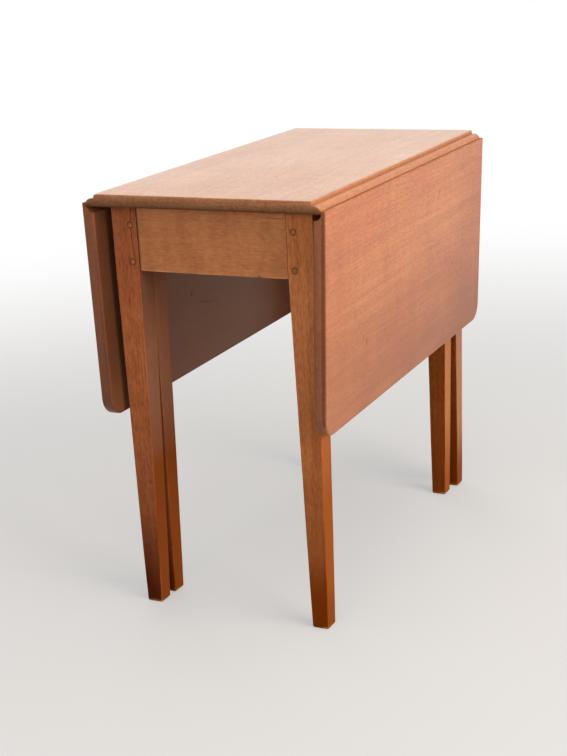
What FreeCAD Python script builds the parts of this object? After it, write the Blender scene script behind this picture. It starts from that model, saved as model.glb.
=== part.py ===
# Drop-leaf table with two rule-jointed leaves and two swing legs, all sizes in millimetres.
#
# Frame: X runs across the table, Y along it, Z up. The origin is on the floor under the middle
# of the top. The two long sides are alike after half a turn about Z, so each piece of a side is
# worked out on the +X side, with its swing leg towards +Y, and turned into place.
import FreeCAD, Part
import math
import os

# ---- Overall sizes ---------------------------------------------------------------------------
TABLE_HEIGHT = 730.0
TOP_WIDTH = 383.0            # flat of the fixed top, between the two rule joints
BOARD_LENGTH = 786.0         # fixed top and leaves alike
BOARD_THICKNESS = 21.0
LEAF_REACH = 361.0           # from the hinge axis to the leaf's free edge
LEAF_CORNER_RADIUS = 30.0

# ---- Rounded edges of the boards ---------------------------------------------------------------
UPPER_ARRIS = 2.5
LEAF_UPPER_ARRIS = 3.5
LOWER_ARRIS = 4.0

# ---- Rule joint --------------------------------------------------------------------------------
AXIS_ABOVE_UNDERSIDE = 2.5   # hinge axis, measured from the underside of the boards
HINGE_SETOUT = 4.3           # hinge axis beyond the upright face of the joint's fillet
OVOLO_RADIUS = 11.0
COVE_CLEARANCE = 0.8
NOSE_GAP = 0.4

# ---- Table hinges ------------------------------------------------------------------------------
HINGE_COUNT = 3              # on each long side
HINGE_END_DISTANCE = 93.0    # centre of the outer hinges from the end of the board
HINGE_WIDTH = 38.0
HINGE_PLATE = 2.0
HINGE_TOP_REACH = 21.5
HINGE_LEAF_REACH = 42.0
HINGE_KNUCKLES = 5
HINGE_KNUCKLE_GAP = 0.25
HINGE_NOTCH_GAP = 0.3
HINGE_PIN_RADIUS = 1.2
HINGE_RECESS_CLEARANCE = 0.3
HINGE_SCREW_INSET = 5.5      # outer screws from the edges of a plate
HINGE_SCREW_ROW = 12.0       # middle screw from the end of a plate
RUNNING_FIT = 0.05
TIGHT_FIT = 0.01

# ---- Wood screws -------------------------------------------------------------------------------
SCREW_RADIUS = 1.7
SCREW_HEAD_RADIUS = 3.2
SCREW_SLOT_WIDTH = 0.7
SCREW_SLOT_DEPTH = 0.8
SCREW_POINT = 4.0
SCREW_TIP_RADIUS = 0.3
HINGE_SCREW_LENGTH = 14.0
BLOCK_SCREW_LENGTH = 32.0
RAIL_SCREW_LENGTH = 26.0

# ---- Frame -------------------------------------------------------------------------------------
LEG_TO_LEAF = 14.2           # side face of a leg to a leaf that hangs plumb
LEAF_REST_GAP = 2.0          # leaf to leg where it hangs nearest to it
END_OVERHANG = 30.5
LEG_SQUARE = 45.6
LEG_FOOT_SQUARE = 30.0
LEG_OUTER_TAPER = 4.5
LEG_ARRIS = 1.4
FOOT_CHAMFER = 2.0
RAIL_DEPTH = 109.0           # height of aprons and rails
RAIL_ARRIS = 1.2
APRON_THICKNESS = 20.0
APRON_INSET = 0.5
INNER_RAIL_THICKNESS = 15.0
INNER_RAIL_INSET = 0.5
OUTER_RAIL_THICKNESS = 18.0

# ---- Mortises, tenons and pegs ------------------------------------------------------------------
APRON_TENON = 10.0
APRON_TENON_LENGTH = 23.0
RAIL_TENON = 8.0
RAIL_TENON_LENGTH = 20.0
ARM_TENON = 8.0
ARM_TENON_LENGTH = 25.0
TENON_TOP_SHOULDER = 10.0
TENON_LOW_SHOULDER = 4.0
MORTISE_END_GAP = 0.8
PEG_RADIUS = 4.6
SMALL_PEG_RADIUS = 4.0
PEG_FIT = 0.02
PEG_SETBACK = 12.0           # centre of a peg from the shoulder of its tenon
RAIL_PEG_SETBACK = 10.0
PEG_FLOOR = 2.5              # wood left behind the end of a peg
APRON_PEG_EDGES = (14.5, 33.5)       # pegs from the lower and the upper edge of an apron
RAIL_PEG_EDGES = (31.0, 49.0)
GATE_PEG_EDGES = (30.0, 29.0)

# ---- Swing legs ---------------------------------------------------------------------------------
GATE_SQUARE = 43.0
GATE_FOOT_SQUARE = 29.0
GATE_OUTER_TAPER = 8.5
GATE_PROUD = 4.0             # swing leg beyond the face of its arm
GATE_END_GAP = 2.0           # swing leg to fixed leg
GATE_RUNNING_GAP = 0.6       # under the top, and over and beside the rail
GATE_FOOT_GAP = 0.5          # under the foot of a closed swing leg
KNUCKLE_OFFSET = 20.0        # wooden hinge from the middle of the table, towards the swing leg
KNUCKLE_FINGERS = 5
KNUCKLE_GAP = 0.4
KNUCKLE_SHOULDER_GAP = 0.5
ARM_BACK_GAP = 0.5           # arm to the inner rail behind it
KNUCKLE_PIN_RADIUS = 3.0

# ---- Glue blocks under the top -------------------------------------------------------------------
BLOCK_LENGTH = 50.0
BLOCK_SQUARE = 22.0
BLOCK_OFFSET = 150.0         # side blocks from the middle of the table
RAIL_SCREW_OFFSETS = (-270.0, -160.0, -50.0)
RAIL_SCREW_HEIGHT = 45.0

# ---- Places worked out from the sizes above ------------------------------------------------------
UNDERSIDE = TABLE_HEIGHT - BOARD_THICKNESS
TOP_EDGE_X = TOP_WIDTH / 2.0
HINGE_X = TOP_EDGE_X + HINGE_SETOUT
HINGE_Z = UNDERSIDE + AXIS_ABOVE_UNDERSIDE
HALF_LENGTH = BOARD_LENGTH / 2.0
COVE_RADIUS = OVOLO_RADIUS + COVE_CLEARANCE
HANGING_LEAF_X = HINGE_X - AXIS_ABOVE_UNDERSIDE
LEG_X = HANGING_LEAF_X - LEG_TO_LEAF
LEG_Y = HALF_LENGTH - END_OVERHANG
LEG_INNER_X = LEG_X - LEG_SQUARE
LEG_INNER_Y = LEG_Y - LEG_SQUARE
RAIL_Z = UNDERSIDE - RAIL_DEPTH
APRON_Y = LEG_Y - APRON_INSET
INNER_RAIL_X = LEG_INNER_X + INNER_RAIL_INSET
OUTER_RAIL_X = INNER_RAIL_X + INNER_RAIL_THICKNESS
OUTER_FACE_X = OUTER_RAIL_X + OUTER_RAIL_THICKNESS
ARM_X = OUTER_RAIL_X + ARM_BACK_GAP
KNUCKLE_RADIUS = (OUTER_FACE_X - ARM_X) / 2.0
KNUCKLE_X = ARM_X + KNUCKLE_RADIUS
ARM_Z = RAIL_Z + GATE_RUNNING_GAP
GATE_TOP_Z = UNDERSIDE - GATE_RUNNING_GAP
GATE_X = OUTER_FACE_X + GATE_PROUD
GATE_Y = LEG_INNER_Y - GATE_END_GAP
HINGE_Y = HALF_LENGTH - HINGE_END_DISTANCE
TENON_Z = RAIL_Z + TENON_LOW_SHOULDER
TENON_TOP_Z = UNDERSIDE - TENON_TOP_SHOULDER


def leaning_angle():
    """Angle in degrees at which a free leaf hangs, just short of the two fixed legs."""
    touch = LEAF_REACH - LOWER_ARRIS
    drop = RAIL_Z - (HINGE_Z - touch)
    leg_face = LEG_X - LEG_OUTER_TAPER * drop / RAIL_Z
    return math.degrees(math.asin((HANGING_LEAF_X - LEAF_REST_GAP - leg_face) / touch))


LEAF_LEAN = leaning_angle()


class Side:
    """One long side: its half turn, how its leaf hangs and how its swing leg stands."""

    def __init__(self, name, turn, leaf_lean, gate_swing, gate_end_taper):
        self.name = name
        self.turn = turn                      # about Z, from the +X side
        self.leaf_lean = leaf_lean            # inwards from plumb
        self.gate_swing = gate_swing          # outwards from closed
        self.gate_end_taper = gate_end_taper  # on the face towards the fixed leg

    def place(self, shape):
        """Turn a shape worked out on the +X side on to this side."""
        return turned(shape, (0, 0, 0), (0, 0, 1), self.turn)

    def place_on_leaf(self, shape):
        """Hang a shape worked out on the raised leaf, and turn it on to this side."""
        hung = turned(shape, (HINGE_X, 0, HINGE_Z), (0, 1, 0), 90.0 + self.leaf_lean)
        return self.place(hung)

    def place_on_gate(self, shape):
        """Swing a shape worked out on the closed swing leg, and turn it on to this side."""
        swung = turned(shape, (KNUCKLE_X, KNUCKLE_OFFSET, 0), (0, 0, 1), -self.gate_swing)
        return self.place(swung)


SIDES = (
    Side("right", 0.0, LEAF_LEAN, 0.7, 12.5),
    Side("left", 180.0, 0.7, 1.7, 1.5),
)


# ---- Small helpers --------------------------------------------------------------------------------
def vector(x, y, z):
    """A FreeCAD vector."""
    return FreeCAD.Vector(x, y, z)


def box(low, high):
    """A box between two opposite corners."""
    sizes = [b - a for a, b in zip(low, high)]
    return Part.makeBox(sizes[0], sizes[1], sizes[2], vector(*low))


def rod(start, direction, radius, length):
    """A round rod from a point along a direction."""
    return Part.makeCylinder(radius, length, vector(*start), vector(*direction))


def turned(shape, centre, axis, degrees):
    """A copy of a shape turned about an axis."""
    copy = shape.copy()
    copy.rotate(vector(*centre), vector(*axis), degrees)
    return copy


def mirrored(shape, normal):
    """A copy of a shape mirrored in a plane through the origin."""
    return shape.mirror(vector(0, 0, 0), vector(*normal))


def fused(shapes):
    """One solid out of several that touch or overlap."""
    whole = shapes[0]
    for shape in shapes[1:]:
        whole = whole.fuse(shape)
    return whole.removeSplitter()


def without(shape, tools):
    """A shape with other shapes cut out of it."""
    for tool in tools:
        shape = shape.cut(tool)
    return shape


def filleted(shape, radius, wanted):
    """A shape with the edges that a test picks rounded over."""
    return shape.makeFillet(radius, [edge for edge in shape.Edges if wanted(edge)])


def lies_at(edge, index, value):
    """Whether both ends of an edge have one coordinate, 0 to 2 for X to Z, at a value."""
    return all(abs(vertex.Point[index] - value) < 1e-6 for vertex in edge.Vertexes)


def rounded_square(x0, y0, x1, y1, z, radius):
    """A level outline with rounded corners."""
    quarter = radius * (1.0 - math.sqrt(0.5))
    corners = (
        ((x0 + radius, y0), (x1 - radius, y0), (x1 - quarter, y0 + quarter), (x1, y0 + radius)),
        ((x1, y0 + radius), (x1, y1 - radius), (x1 - quarter, y1 - quarter), (x1 - radius, y1)),
        ((x1 - radius, y1), (x0 + radius, y1), (x0 + quarter, y1 - quarter), (x0, y1 - radius)),
        ((x0, y1 - radius), (x0, y0 + radius), (x0 + quarter, y0 + quarter), (x0 + radius, y0)),
    )
    edges = []
    for start, end, middle, after in corners:
        edges.append(Part.LineSegment(vector(*start, z), vector(*end, z)).toShape())
        edges.append(Part.Arc(vector(*end, z), vector(*middle, z), vector(*after, z)).toShape())
    return Part.Wire(edges)


def tapered_leg(top, foot, top_z, foot_z):
    """A square leg from its outline at the top of the taper down to its chamfered foot.

    top and foot are (x0, y0, x1, y1).
    """
    small = (foot[0] + FOOT_CHAMFER, foot[1] + FOOT_CHAMFER,
             foot[2] - FOOT_CHAMFER, foot[3] - FOOT_CHAMFER)
    outlines = [
        rounded_square(*small, foot_z, LEG_ARRIS),
        rounded_square(*foot, foot_z + FOOT_CHAMFER, LEG_ARRIS),
        rounded_square(*top, top_z, LEG_ARRIS),
    ]
    return Part.makeLoft(outlines, True, True)


def upright_block(outline, z0, z1):
    """A square block with rounded upright edges."""
    face = Part.Face(rounded_square(*outline, z0, LEG_ARRIS))
    return face.extrude(vector(0, 0, z1 - z0))


def screw(point, direction, length):
    """A slotted countersunk wood screw: point is the middle of its head's face."""
    cone = SCREW_HEAD_RADIUS - SCREW_RADIUS
    axis = vector(*direction)
    start = vector(*point)
    head = Part.makeCone(SCREW_HEAD_RADIUS, SCREW_RADIUS, cone, start, axis)
    shank = Part.makeCylinder(SCREW_RADIUS, length - SCREW_POINT, start, axis)
    tip_start = start + axis * (length - SCREW_POINT)
    tip = Part.makeCone(SCREW_RADIUS, SCREW_TIP_RADIUS, SCREW_POINT, tip_start, axis)
    return fused([head, shank, tip])


def screw_slot(point, direction):
    """The slot across a screw's head."""
    low = (-SCREW_HEAD_RADIUS, -SCREW_SLOT_WIDTH / 2.0, 0.0)
    high = (SCREW_HEAD_RADIUS, SCREW_SLOT_WIDTH / 2.0, SCREW_SLOT_DEPTH)
    slot = box(low, high)
    slot.Placement = FreeCAD.Placement(
        vector(*point), FreeCAD.Rotation(vector(0, 0, 1), vector(*direction)))
    return slot


def slotted(point, direction, length):
    """A finished screw, with its slot."""
    return screw(point, direction, length).cut(screw_slot(point, direction))


# ---- Fixed top ---------------------------------------------------------------------------------
def rule_joint_section():
    """Cross-section of the fixed top, with a fillet and a quarter round on both long edges."""
    arris = UPPER_ARRIS
    quarter = arris * (1.0 - math.sqrt(0.5))
    half = OVOLO_RADIUS * math.sqrt(0.5)
    edge = HINGE_X + OVOLO_RADIUS
    shoulder = HINGE_Z + OVOLO_RADIUS
    edges = []

    def line(x0, z0, x1, z1):
        edges.append(Part.LineSegment(vector(x0, 0, z0), vector(x1, 0, z1)).toShape())

    def arc(*points):
        edges.append(Part.Arc(*[vector(x, 0, z) for x, z in points]).toShape())

    line(-edge, UNDERSIDE, edge, UNDERSIDE)
    line(edge, UNDERSIDE, edge, HINGE_Z)
    arc((edge, HINGE_Z), (HINGE_X + half, HINGE_Z + half), (HINGE_X, shoulder))
    line(HINGE_X, shoulder, TOP_EDGE_X, shoulder)
    line(TOP_EDGE_X, shoulder, TOP_EDGE_X, TABLE_HEIGHT - arris)
    arc((TOP_EDGE_X, TABLE_HEIGHT - arris), (TOP_EDGE_X - quarter, TABLE_HEIGHT - quarter),
        (TOP_EDGE_X - arris, TABLE_HEIGHT))
    line(TOP_EDGE_X - arris, TABLE_HEIGHT, arris - TOP_EDGE_X, TABLE_HEIGHT)
    arc((arris - TOP_EDGE_X, TABLE_HEIGHT), (quarter - TOP_EDGE_X, TABLE_HEIGHT - quarter),
        (-TOP_EDGE_X, TABLE_HEIGHT - arris))
    line(-TOP_EDGE_X, TABLE_HEIGHT - arris, -TOP_EDGE_X, shoulder)
    line(-TOP_EDGE_X, shoulder, -HINGE_X, shoulder)
    arc((-HINGE_X, shoulder), (-HINGE_X - half, HINGE_Z + half), (-edge, HINGE_Z))
    line(-edge, HINGE_Z, -edge, UNDERSIDE)
    return Part.Face(Part.Wire(edges))


def hinge_places():
    """Y of the middle of each hinge of a side."""
    step = 2.0 * HINGE_Y / (HINGE_COUNT - 1)
    return [-HINGE_Y + step * number for number in range(HINGE_COUNT)]


def top_hinge_recess(y):
    """Room in the underside of the fixed top for a hinge: plate, barrel and the leaf's plate."""
    half = HINGE_WIDTH / 2.0
    wide = half + HINGE_RECESS_CLEARANCE
    barrel_room = AXIS_ABOVE_UNDERSIDE + HINGE_RECESS_CLEARANCE
    plate = box((HINGE_X - HINGE_TOP_REACH, y - half, UNDERSIDE),
                (HINGE_X, y + half, UNDERSIDE + HINGE_PLATE))
    barrel = rod((HINGE_X, y - wide, HINGE_Z), (0, 1, 0), barrel_room, 2.0 * wide)
    under = box((HINGE_X - barrel_room, y - wide, UNDERSIDE),
                (HINGE_X + barrel_room, y + wide, HINGE_Z))
    swing = box((HINGE_X, y - wide, UNDERSIDE),
                (HINGE_X + OVOLO_RADIUS, y + wide,
                 UNDERSIDE + HINGE_PLATE + HINGE_RECESS_CLEARANCE))
    return [plate, barrel, under, swing]


def top_board():
    """The fixed top, with rounded ends, rule joints and room for the hinges and screws."""
    reach = HINGE_X + OVOLO_RADIUS
    blank = box((-reach, -HALF_LENGTH, UNDERSIDE), (reach, HALF_LENGTH, TABLE_HEIGHT))
    for y in (-HALF_LENGTH, HALF_LENGTH):
        blank = filleted(blank, UPPER_ARRIS,
                         lambda e: lies_at(e, 1, y) and lies_at(e, 2, TABLE_HEIGHT))
        blank = filleted(blank, LOWER_ARRIS,
                         lambda e: lies_at(e, 1, y) and lies_at(e, 2, UNDERSIDE))
    section = rule_joint_section()
    section.translate(vector(0, -HALF_LENGTH, 0))
    board = blank.common(section.extrude(vector(0, BOARD_LENGTH, 0)))
    tools = []
    for side in SIDES:
        for y in hinge_places():
            tools += [side.place(tool) for tool in top_hinge_recess(y)]
        tools += [side.place(tool) for tool in top_plate_screws(screw)]
    tools += block_screws(screw)
    return without(board, tools)


# ---- Leaves --------------------------------------------------------------------------------------
def leaf():
    """A leaf in its raised place on the +X side."""
    edge = HINGE_X + LEAF_REACH
    nose = TOP_EDGE_X + NOSE_GAP
    blank = box((nose, -HALF_LENGTH, UNDERSIDE), (edge, HALF_LENGTH, TABLE_HEIGHT))
    for y in (-HALF_LENGTH, HALF_LENGTH):
        blank = filleted(blank, LEAF_CORNER_RADIUS, lambda e: lies_at(e, 0, edge) and lies_at(e, 1, y))
    board = filleted(blank, LEAF_UPPER_ARRIS, lambda e: lies_at(e, 2, TABLE_HEIGHT))
    board = filleted(board, LOWER_ARRIS, lambda e: lies_at(e, 2, UNDERSIDE))
    cove = rod((HINGE_X, -HALF_LENGTH, HINGE_Z), (0, 1, 0), COVE_RADIUS, BOARD_LENGTH)
    under = box((TOP_EDGE_X, -HALF_LENGTH, UNDERSIDE), (HINGE_X + COVE_RADIUS, HALF_LENGTH, HINGE_Z))
    over_shoulder = box((TOP_EDGE_X, -HALF_LENGTH, HINGE_Z), (HINGE_X, HALF_LENGTH, HINGE_Z + COVE_RADIUS))
    tools = [cove, under, over_shoulder]
    for y in hinge_places():
        half = HINGE_WIDTH / 2.0
        tools.append(box((HINGE_X, y - half, UNDERSIDE),
                         (HINGE_X + HINGE_LEAF_REACH, y + half, UNDERSIDE + HINGE_PLATE)))
    tools += leaf_plate_screws(screw)
    return without(board, tools)


# ---- Table hinges ----------------------------------------------------------------------------------
def hinge_plate(y, reach, direction, knuckles, pin_room, screws):
    """A hinge plate in its raised place: direction is +1 on the leaf and -1 on the fixed top."""
    half = HINGE_WIDTH / 2.0
    pitch = HINGE_WIDTH / HINGE_KNUCKLES
    notch = AXIS_ABOVE_UNDERSIDE + HINGE_NOTCH_GAP
    near = HINGE_X + direction * notch
    far = HINGE_X + direction * reach
    top = UNDERSIDE + HINGE_PLATE
    pieces = [box((min(near, far), y - half, UNDERSIDE), (max(near, far), y + half, top))]
    for number in knuckles:
        y0 = y - half + number * pitch + HINGE_KNUCKLE_GAP / 2.0
        y1 = y0 + pitch - HINGE_KNUCKLE_GAP
        pieces.append(rod((HINGE_X, y0, HINGE_Z), (0, 1, 0), AXIS_ABOVE_UNDERSIDE, y1 - y0))
        pieces.append(box((min(HINGE_X, near), y0, UNDERSIDE), (max(HINGE_X, near), y1, top)))
    hole = rod((HINGE_X, y - half, HINGE_Z), (0, 1, 0), HINGE_PIN_RADIUS + pin_room, HINGE_WIDTH)
    return without(fused(pieces), [hole] + screws)


def top_knuckles():
    """Numbers of the barrel lengths that belong to the fixed top's plate."""
    return range(0, HINGE_KNUCKLES, 2)


def leaf_knuckles():
    """Numbers of the barrel lengths that belong to the leaf's plate."""
    return range(1, HINGE_KNUCKLES, 2)


def plate_screw_places(y, reach, direction):
    """Where the three screws of a plate stand: two near its end and one between, nearer the pin."""
    far = HINGE_X + direction * (reach - HINGE_SCREW_INSET)
    near = HINGE_X + direction * (reach - HINGE_SCREW_ROW)
    side = HINGE_WIDTH / 2.0 - HINGE_SCREW_INSET
    return [(far, y - side), (far, y + side), (near, y)]


def plate_screws(make, y, reach, direction):
    """The screws of a plate, or the holes for them."""
    return [make((x, at, UNDERSIDE), (0, 0, 1), HINGE_SCREW_LENGTH)
            for x, at in plate_screw_places(y, reach, direction)]


def top_plate_screws(make):
    """Every screw that holds a side's hinges to the fixed top."""
    screws = []
    for y in hinge_places():
        screws += plate_screws(make, y, HINGE_TOP_REACH, -1)
    return screws


def leaf_plate_screws(make):
    """Every screw that holds a side's hinges to its raised leaf."""
    screws = []
    for y in hinge_places():
        screws += plate_screws(make, y, HINGE_LEAF_REACH, 1)
    return screws


def top_hinge_plate(y):
    """The plate let into the fixed top, tight on the pin."""
    screws = plate_screws(screw, y, HINGE_TOP_REACH, -1)
    return hinge_plate(y, HINGE_TOP_REACH, -1, top_knuckles(), TIGHT_FIT, screws)


def leaf_hinge_plate(y):
    """The longer plate let into the leaf, free on the pin."""
    screws = plate_screws(screw, y, HINGE_LEAF_REACH, 1)
    return hinge_plate(y, HINGE_LEAF_REACH, 1, leaf_knuckles(), RUNNING_FIT, screws)


def hinge_pin(y):
    """The pin through a hinge's barrel."""
    return rod((HINGE_X, y - HINGE_WIDTH / 2.0, HINGE_Z), (0, 1, 0), HINGE_PIN_RADIUS, HINGE_WIDTH)


# ---- Pegs, as rods or as the holes for them ----------------------------------------------------------
def peg_heights(edges):
    """Heights of a lower and an upper peg, from their distances to the edges of the rail."""
    return (RAIL_Z + edges[0], UNDERSIDE - edges[1])


def apron_pegs(sign_x, sign_y, room=0.0):
    """Pegs through an apron's tenon, driven in from the end face of a fixed leg."""
    x = sign_x * (LEG_INNER_X + PEG_SETBACK)
    length = LEG_SQUARE - RAIL_TENON_LENGTH - MORTISE_END_GAP - PEG_FLOOR
    return [rod((x, sign_y * LEG_Y, z), (0, -sign_y, 0), PEG_RADIUS + room, length)
            for z in peg_heights(APRON_PEG_EDGES)]


def rail_pegs(sign_x, sign_y, room=0.0):
    """Pegs through a side rail's tenon, driven in from the side face of a fixed leg."""
    y = sign_y * (LEG_INNER_Y + RAIL_PEG_SETBACK)
    length = LEG_SQUARE - PEG_FLOOR
    return [rod((sign_x * LEG_X, y, z), (-sign_x, 0, 0), SMALL_PEG_RADIUS + room, length)
            for z in peg_heights(RAIL_PEG_EDGES)]


def gate_pegs(room=0.0):
    """Pegs through the arm's tenon, driven in from the outer face of the closed swing leg."""
    y = GATE_Y - GATE_SQUARE + PEG_SETBACK
    length = GATE_X - ARM_X - PEG_FLOOR
    return [rod((GATE_X, y, z), (-1, 0, 0), SMALL_PEG_RADIUS + room, length)
            for z in peg_heights(GATE_PEG_EDGES)]


# ---- Frame --------------------------------------------------------------------------------------------
def apron_tenon(sign_x, sign_y, extra=0.0):
    """The tenon at one end of an apron, or its mortise."""
    middle = APRON_Y - APRON_THICKNESS / 2.0
    ys = sorted((sign_y * (middle - APRON_TENON / 2.0), sign_y * (middle + APRON_TENON / 2.0)))
    xs = sorted((sign_x * (LEG_INNER_X - LEG_ARRIS), sign_x * (LEG_INNER_X + APRON_TENON_LENGTH + extra)))
    return box((xs[0], ys[0], TENON_Z), (xs[1], ys[1], TENON_TOP_Z))


def rail_tenon(sign_x, sign_y, extra=0.0):
    """The tenon at one end of an inner side rail, or its mortise."""
    middle = INNER_RAIL_X + INNER_RAIL_THICKNESS / 2.0
    xs = sorted((sign_x * (middle - RAIL_TENON / 2.0), sign_x * (middle + RAIL_TENON / 2.0)))
    ys = sorted((sign_y * (LEG_INNER_Y - LEG_ARRIS), sign_y * (LEG_INNER_Y + RAIL_TENON_LENGTH + extra)))
    return box((xs[0], ys[0], TENON_Z), (xs[1], ys[1], TENON_TOP_Z))


def fixed_leg(sign_x, sign_y):
    """A fixed leg: square beside the rails, then tapered on all four faces."""
    foot_outer_x = LEG_X - LEG_OUTER_TAPER
    foot_outer_y = LEG_Y - LEG_OUTER_TAPER
    top = (LEG_INNER_X, LEG_INNER_Y, LEG_X, LEG_Y)
    foot = (foot_outer_x - LEG_FOOT_SQUARE, foot_outer_y - LEG_FOOT_SQUARE, foot_outer_x, foot_outer_y)
    leg = fused([upright_block(top, RAIL_Z, UNDERSIDE), tapered_leg(top, foot, RAIL_Z, 0.0)])
    if sign_x < 0:
        leg = mirrored(leg, (1, 0, 0))
    if sign_y < 0:
        leg = mirrored(leg, (0, 1, 0))
    tools = [apron_tenon(sign_x, sign_y, MORTISE_END_GAP), rail_tenon(sign_x, sign_y, MORTISE_END_GAP)]
    tools += apron_pegs(sign_x, sign_y, PEG_FIT)
    tools += rail_pegs(sign_x, sign_y, PEG_FIT)
    return without(leg, tools)


def apron(sign_y):
    """An apron across one end of the frame, tenoned into two legs."""
    outer = sign_y * APRON_Y
    inner = sign_y * (APRON_Y - APRON_THICKNESS)
    board = box((-LEG_INNER_X, min(outer, inner), RAIL_Z), (LEG_INNER_X, max(outer, inner), UNDERSIDE))
    board = filleted(board, RAIL_ARRIS, lambda e: lies_at(e, 2, RAIL_Z) and lies_at(e, 1, outer))
    board = fused([board, apron_tenon(-1, sign_y), apron_tenon(1, sign_y)])
    holes = apron_pegs(-1, sign_y, PEG_FIT) + apron_pegs(1, sign_y, PEG_FIT)
    return without(board, holes)


def side_rail():
    """The inner rail of the +X side, tenoned into two legs."""
    board = box((INNER_RAIL_X, -LEG_INNER_Y, RAIL_Z), (OUTER_RAIL_X, LEG_INNER_Y, UNDERSIDE))
    board = fused([board, rail_tenon(1, -1), rail_tenon(1, 1)])
    holes = rail_pegs(1, -1, PEG_FIT) + rail_pegs(1, 1, PEG_FIT)
    return without(board, holes + rail_screws(screw))


def finger_levels():
    """Heights where the fingers of the wooden hinge begin and end."""
    pitch = RAIL_DEPTH / KNUCKLE_FINGERS
    return [RAIL_Z + pitch * number for number in range(KNUCKLE_FINGERS + 1)]


def fingers(numbers, direction, low, high):
    """Fingers of the wooden hinge, round about the pin, reaching back to their board.

    direction is -1 for the fixed rail and +1 for the swing arm; low and high are that board's edges.
    """
    levels = finger_levels()
    reach = KNUCKLE_RADIUS + KNUCKLE_SHOULDER_GAP
    pieces = []
    for number in numbers:
        z0 = low if number == 0 else levels[number] + KNUCKLE_GAP / 2.0
        z1 = high if number == KNUCKLE_FINGERS - 1 else levels[number + 1] - KNUCKLE_GAP / 2.0
        pieces.append(rod((KNUCKLE_X, KNUCKLE_OFFSET, z0), (0, 0, 1), KNUCKLE_RADIUS, z1 - z0))
        ys = sorted((KNUCKLE_OFFSET, KNUCKLE_OFFSET + direction * (reach + LEG_ARRIS)))
        pieces.append(box((ARM_X, ys[0], z0), (OUTER_FACE_X, ys[1], z1)))
    return pieces


def knuckle_hole(room):
    """The hole for the pin of the wooden hinge."""
    return rod((KNUCKLE_X, KNUCKLE_OFFSET, RAIL_Z), (0, 0, 1), KNUCKLE_PIN_RADIUS + room, RAIL_DEPTH)


def knuckle_rail():
    """The fixed outer rail of the +X side, with three fingers of the wooden hinge at its end."""
    shoulder = KNUCKLE_OFFSET - KNUCKLE_RADIUS - KNUCKLE_SHOULDER_GAP
    board = box((OUTER_RAIL_X, -LEG_INNER_Y, RAIL_Z), (OUTER_FACE_X, shoulder, UNDERSIDE))
    pieces = [board] + fingers(range(0, KNUCKLE_FINGERS, 2), -1, RAIL_Z, UNDERSIDE)
    return without(fused(pieces), [knuckle_hole(TIGHT_FIT)] + rail_screws(screw))


def gate_arm():
    """The swing arm of the +X side, closed, with two fingers and a tenon for the swing leg."""
    shoulder = KNUCKLE_OFFSET + KNUCKLE_RADIUS + KNUCKLE_SHOULDER_GAP
    leg_face = GATE_Y - GATE_SQUARE
    board = box((ARM_X, shoulder, ARM_Z), (OUTER_FACE_X, leg_face, GATE_TOP_Z))
    pieces = [board, gate_tenon()] + fingers(range(1, KNUCKLE_FINGERS, 2), 1, ARM_Z, GATE_TOP_Z)
    return without(fused(pieces), [knuckle_hole(RUNNING_FIT)] + gate_pegs(PEG_FIT))


def gate_tenon(extra=0.0):
    """The tenon of the swing arm, or its mortise."""
    leg_face = GATE_Y - GATE_SQUARE
    x0 = KNUCKLE_X - ARM_TENON / 2.0
    return box((x0, leg_face - LEG_ARRIS, TENON_Z),
               (x0 + ARM_TENON, leg_face + ARM_TENON_LENGTH + extra, TENON_TOP_Z))


def gate_leg(end_taper):
    """The swing leg of the +X side, closed, cut away behind to pass the inner rail."""
    step_z = RAIL_Z - GATE_RUNNING_GAP
    top = (GATE_X - GATE_SQUARE, GATE_Y - GATE_SQUARE, GATE_X, GATE_Y)
    foot_x = GATE_X - GATE_OUTER_TAPER
    foot_y = GATE_Y - end_taper
    foot = (foot_x - GATE_FOOT_SQUARE, foot_y - GATE_FOOT_SQUARE, foot_x, foot_y)
    block = upright_block(top, step_z, GATE_TOP_Z)
    leg = fused([block, tapered_leg(top, foot, step_z, GATE_FOOT_GAP)])
    behind = box((0, 0, step_z), (ARM_X, LEG_Y, UNDERSIDE))
    return without(leg, [behind, gate_tenon(MORTISE_END_GAP)] + gate_pegs(PEG_FIT))


def knuckle_pin():
    """The iron pin of the wooden hinge."""
    length = GATE_TOP_Z - RAIL_Z
    return rod((KNUCKLE_X, KNUCKLE_OFFSET, RAIL_Z), (0, 0, 1), KNUCKLE_PIN_RADIUS, length)


def rail_screws(make):
    """Screws from the inner rail of the +X side into its outer rail, or their holes."""
    return [make((INNER_RAIL_X, y, RAIL_Z + RAIL_SCREW_HEIGHT), (1, 0, 0), RAIL_SCREW_LENGTH)
            for y in RAIL_SCREW_OFFSETS]


# ---- Glue blocks ---------------------------------------------------------------------------------------
def block_places():
    """Name and low and high corner, in plan, of every glue block."""
    half = BLOCK_LENGTH / 2.0
    places = []
    for name, sign in (("right", 1), ("left", -1)):
        xs = sorted((sign * INNER_RAIL_X, sign * (INNER_RAIL_X - BLOCK_SQUARE)))
        for end, y in (("near", -BLOCK_OFFSET), ("far", BLOCK_OFFSET)):
            places.append((f"glue_block_{name}_{end}", (xs[0], y - half), (xs[1], y + half)))
    for end, sign in (("near", -1), ("far", 1)):
        face = APRON_Y - APRON_THICKNESS
        ys = sorted((sign * face, sign * (face - BLOCK_SQUARE)))
        places.append((f"glue_block_{end}", (-half, ys[0]), (half, ys[1])))
    return places


def block_screws(make):
    """A screw up through each glue block into the fixed top, or the hole for it."""
    z = UNDERSIDE - BLOCK_SQUARE
    return [make(((low[0] + high[0]) / 2.0, (low[1] + high[1]) / 2.0, z), (0, 0, 1), BLOCK_SCREW_LENGTH)
            for _, low, high in block_places()]


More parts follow.
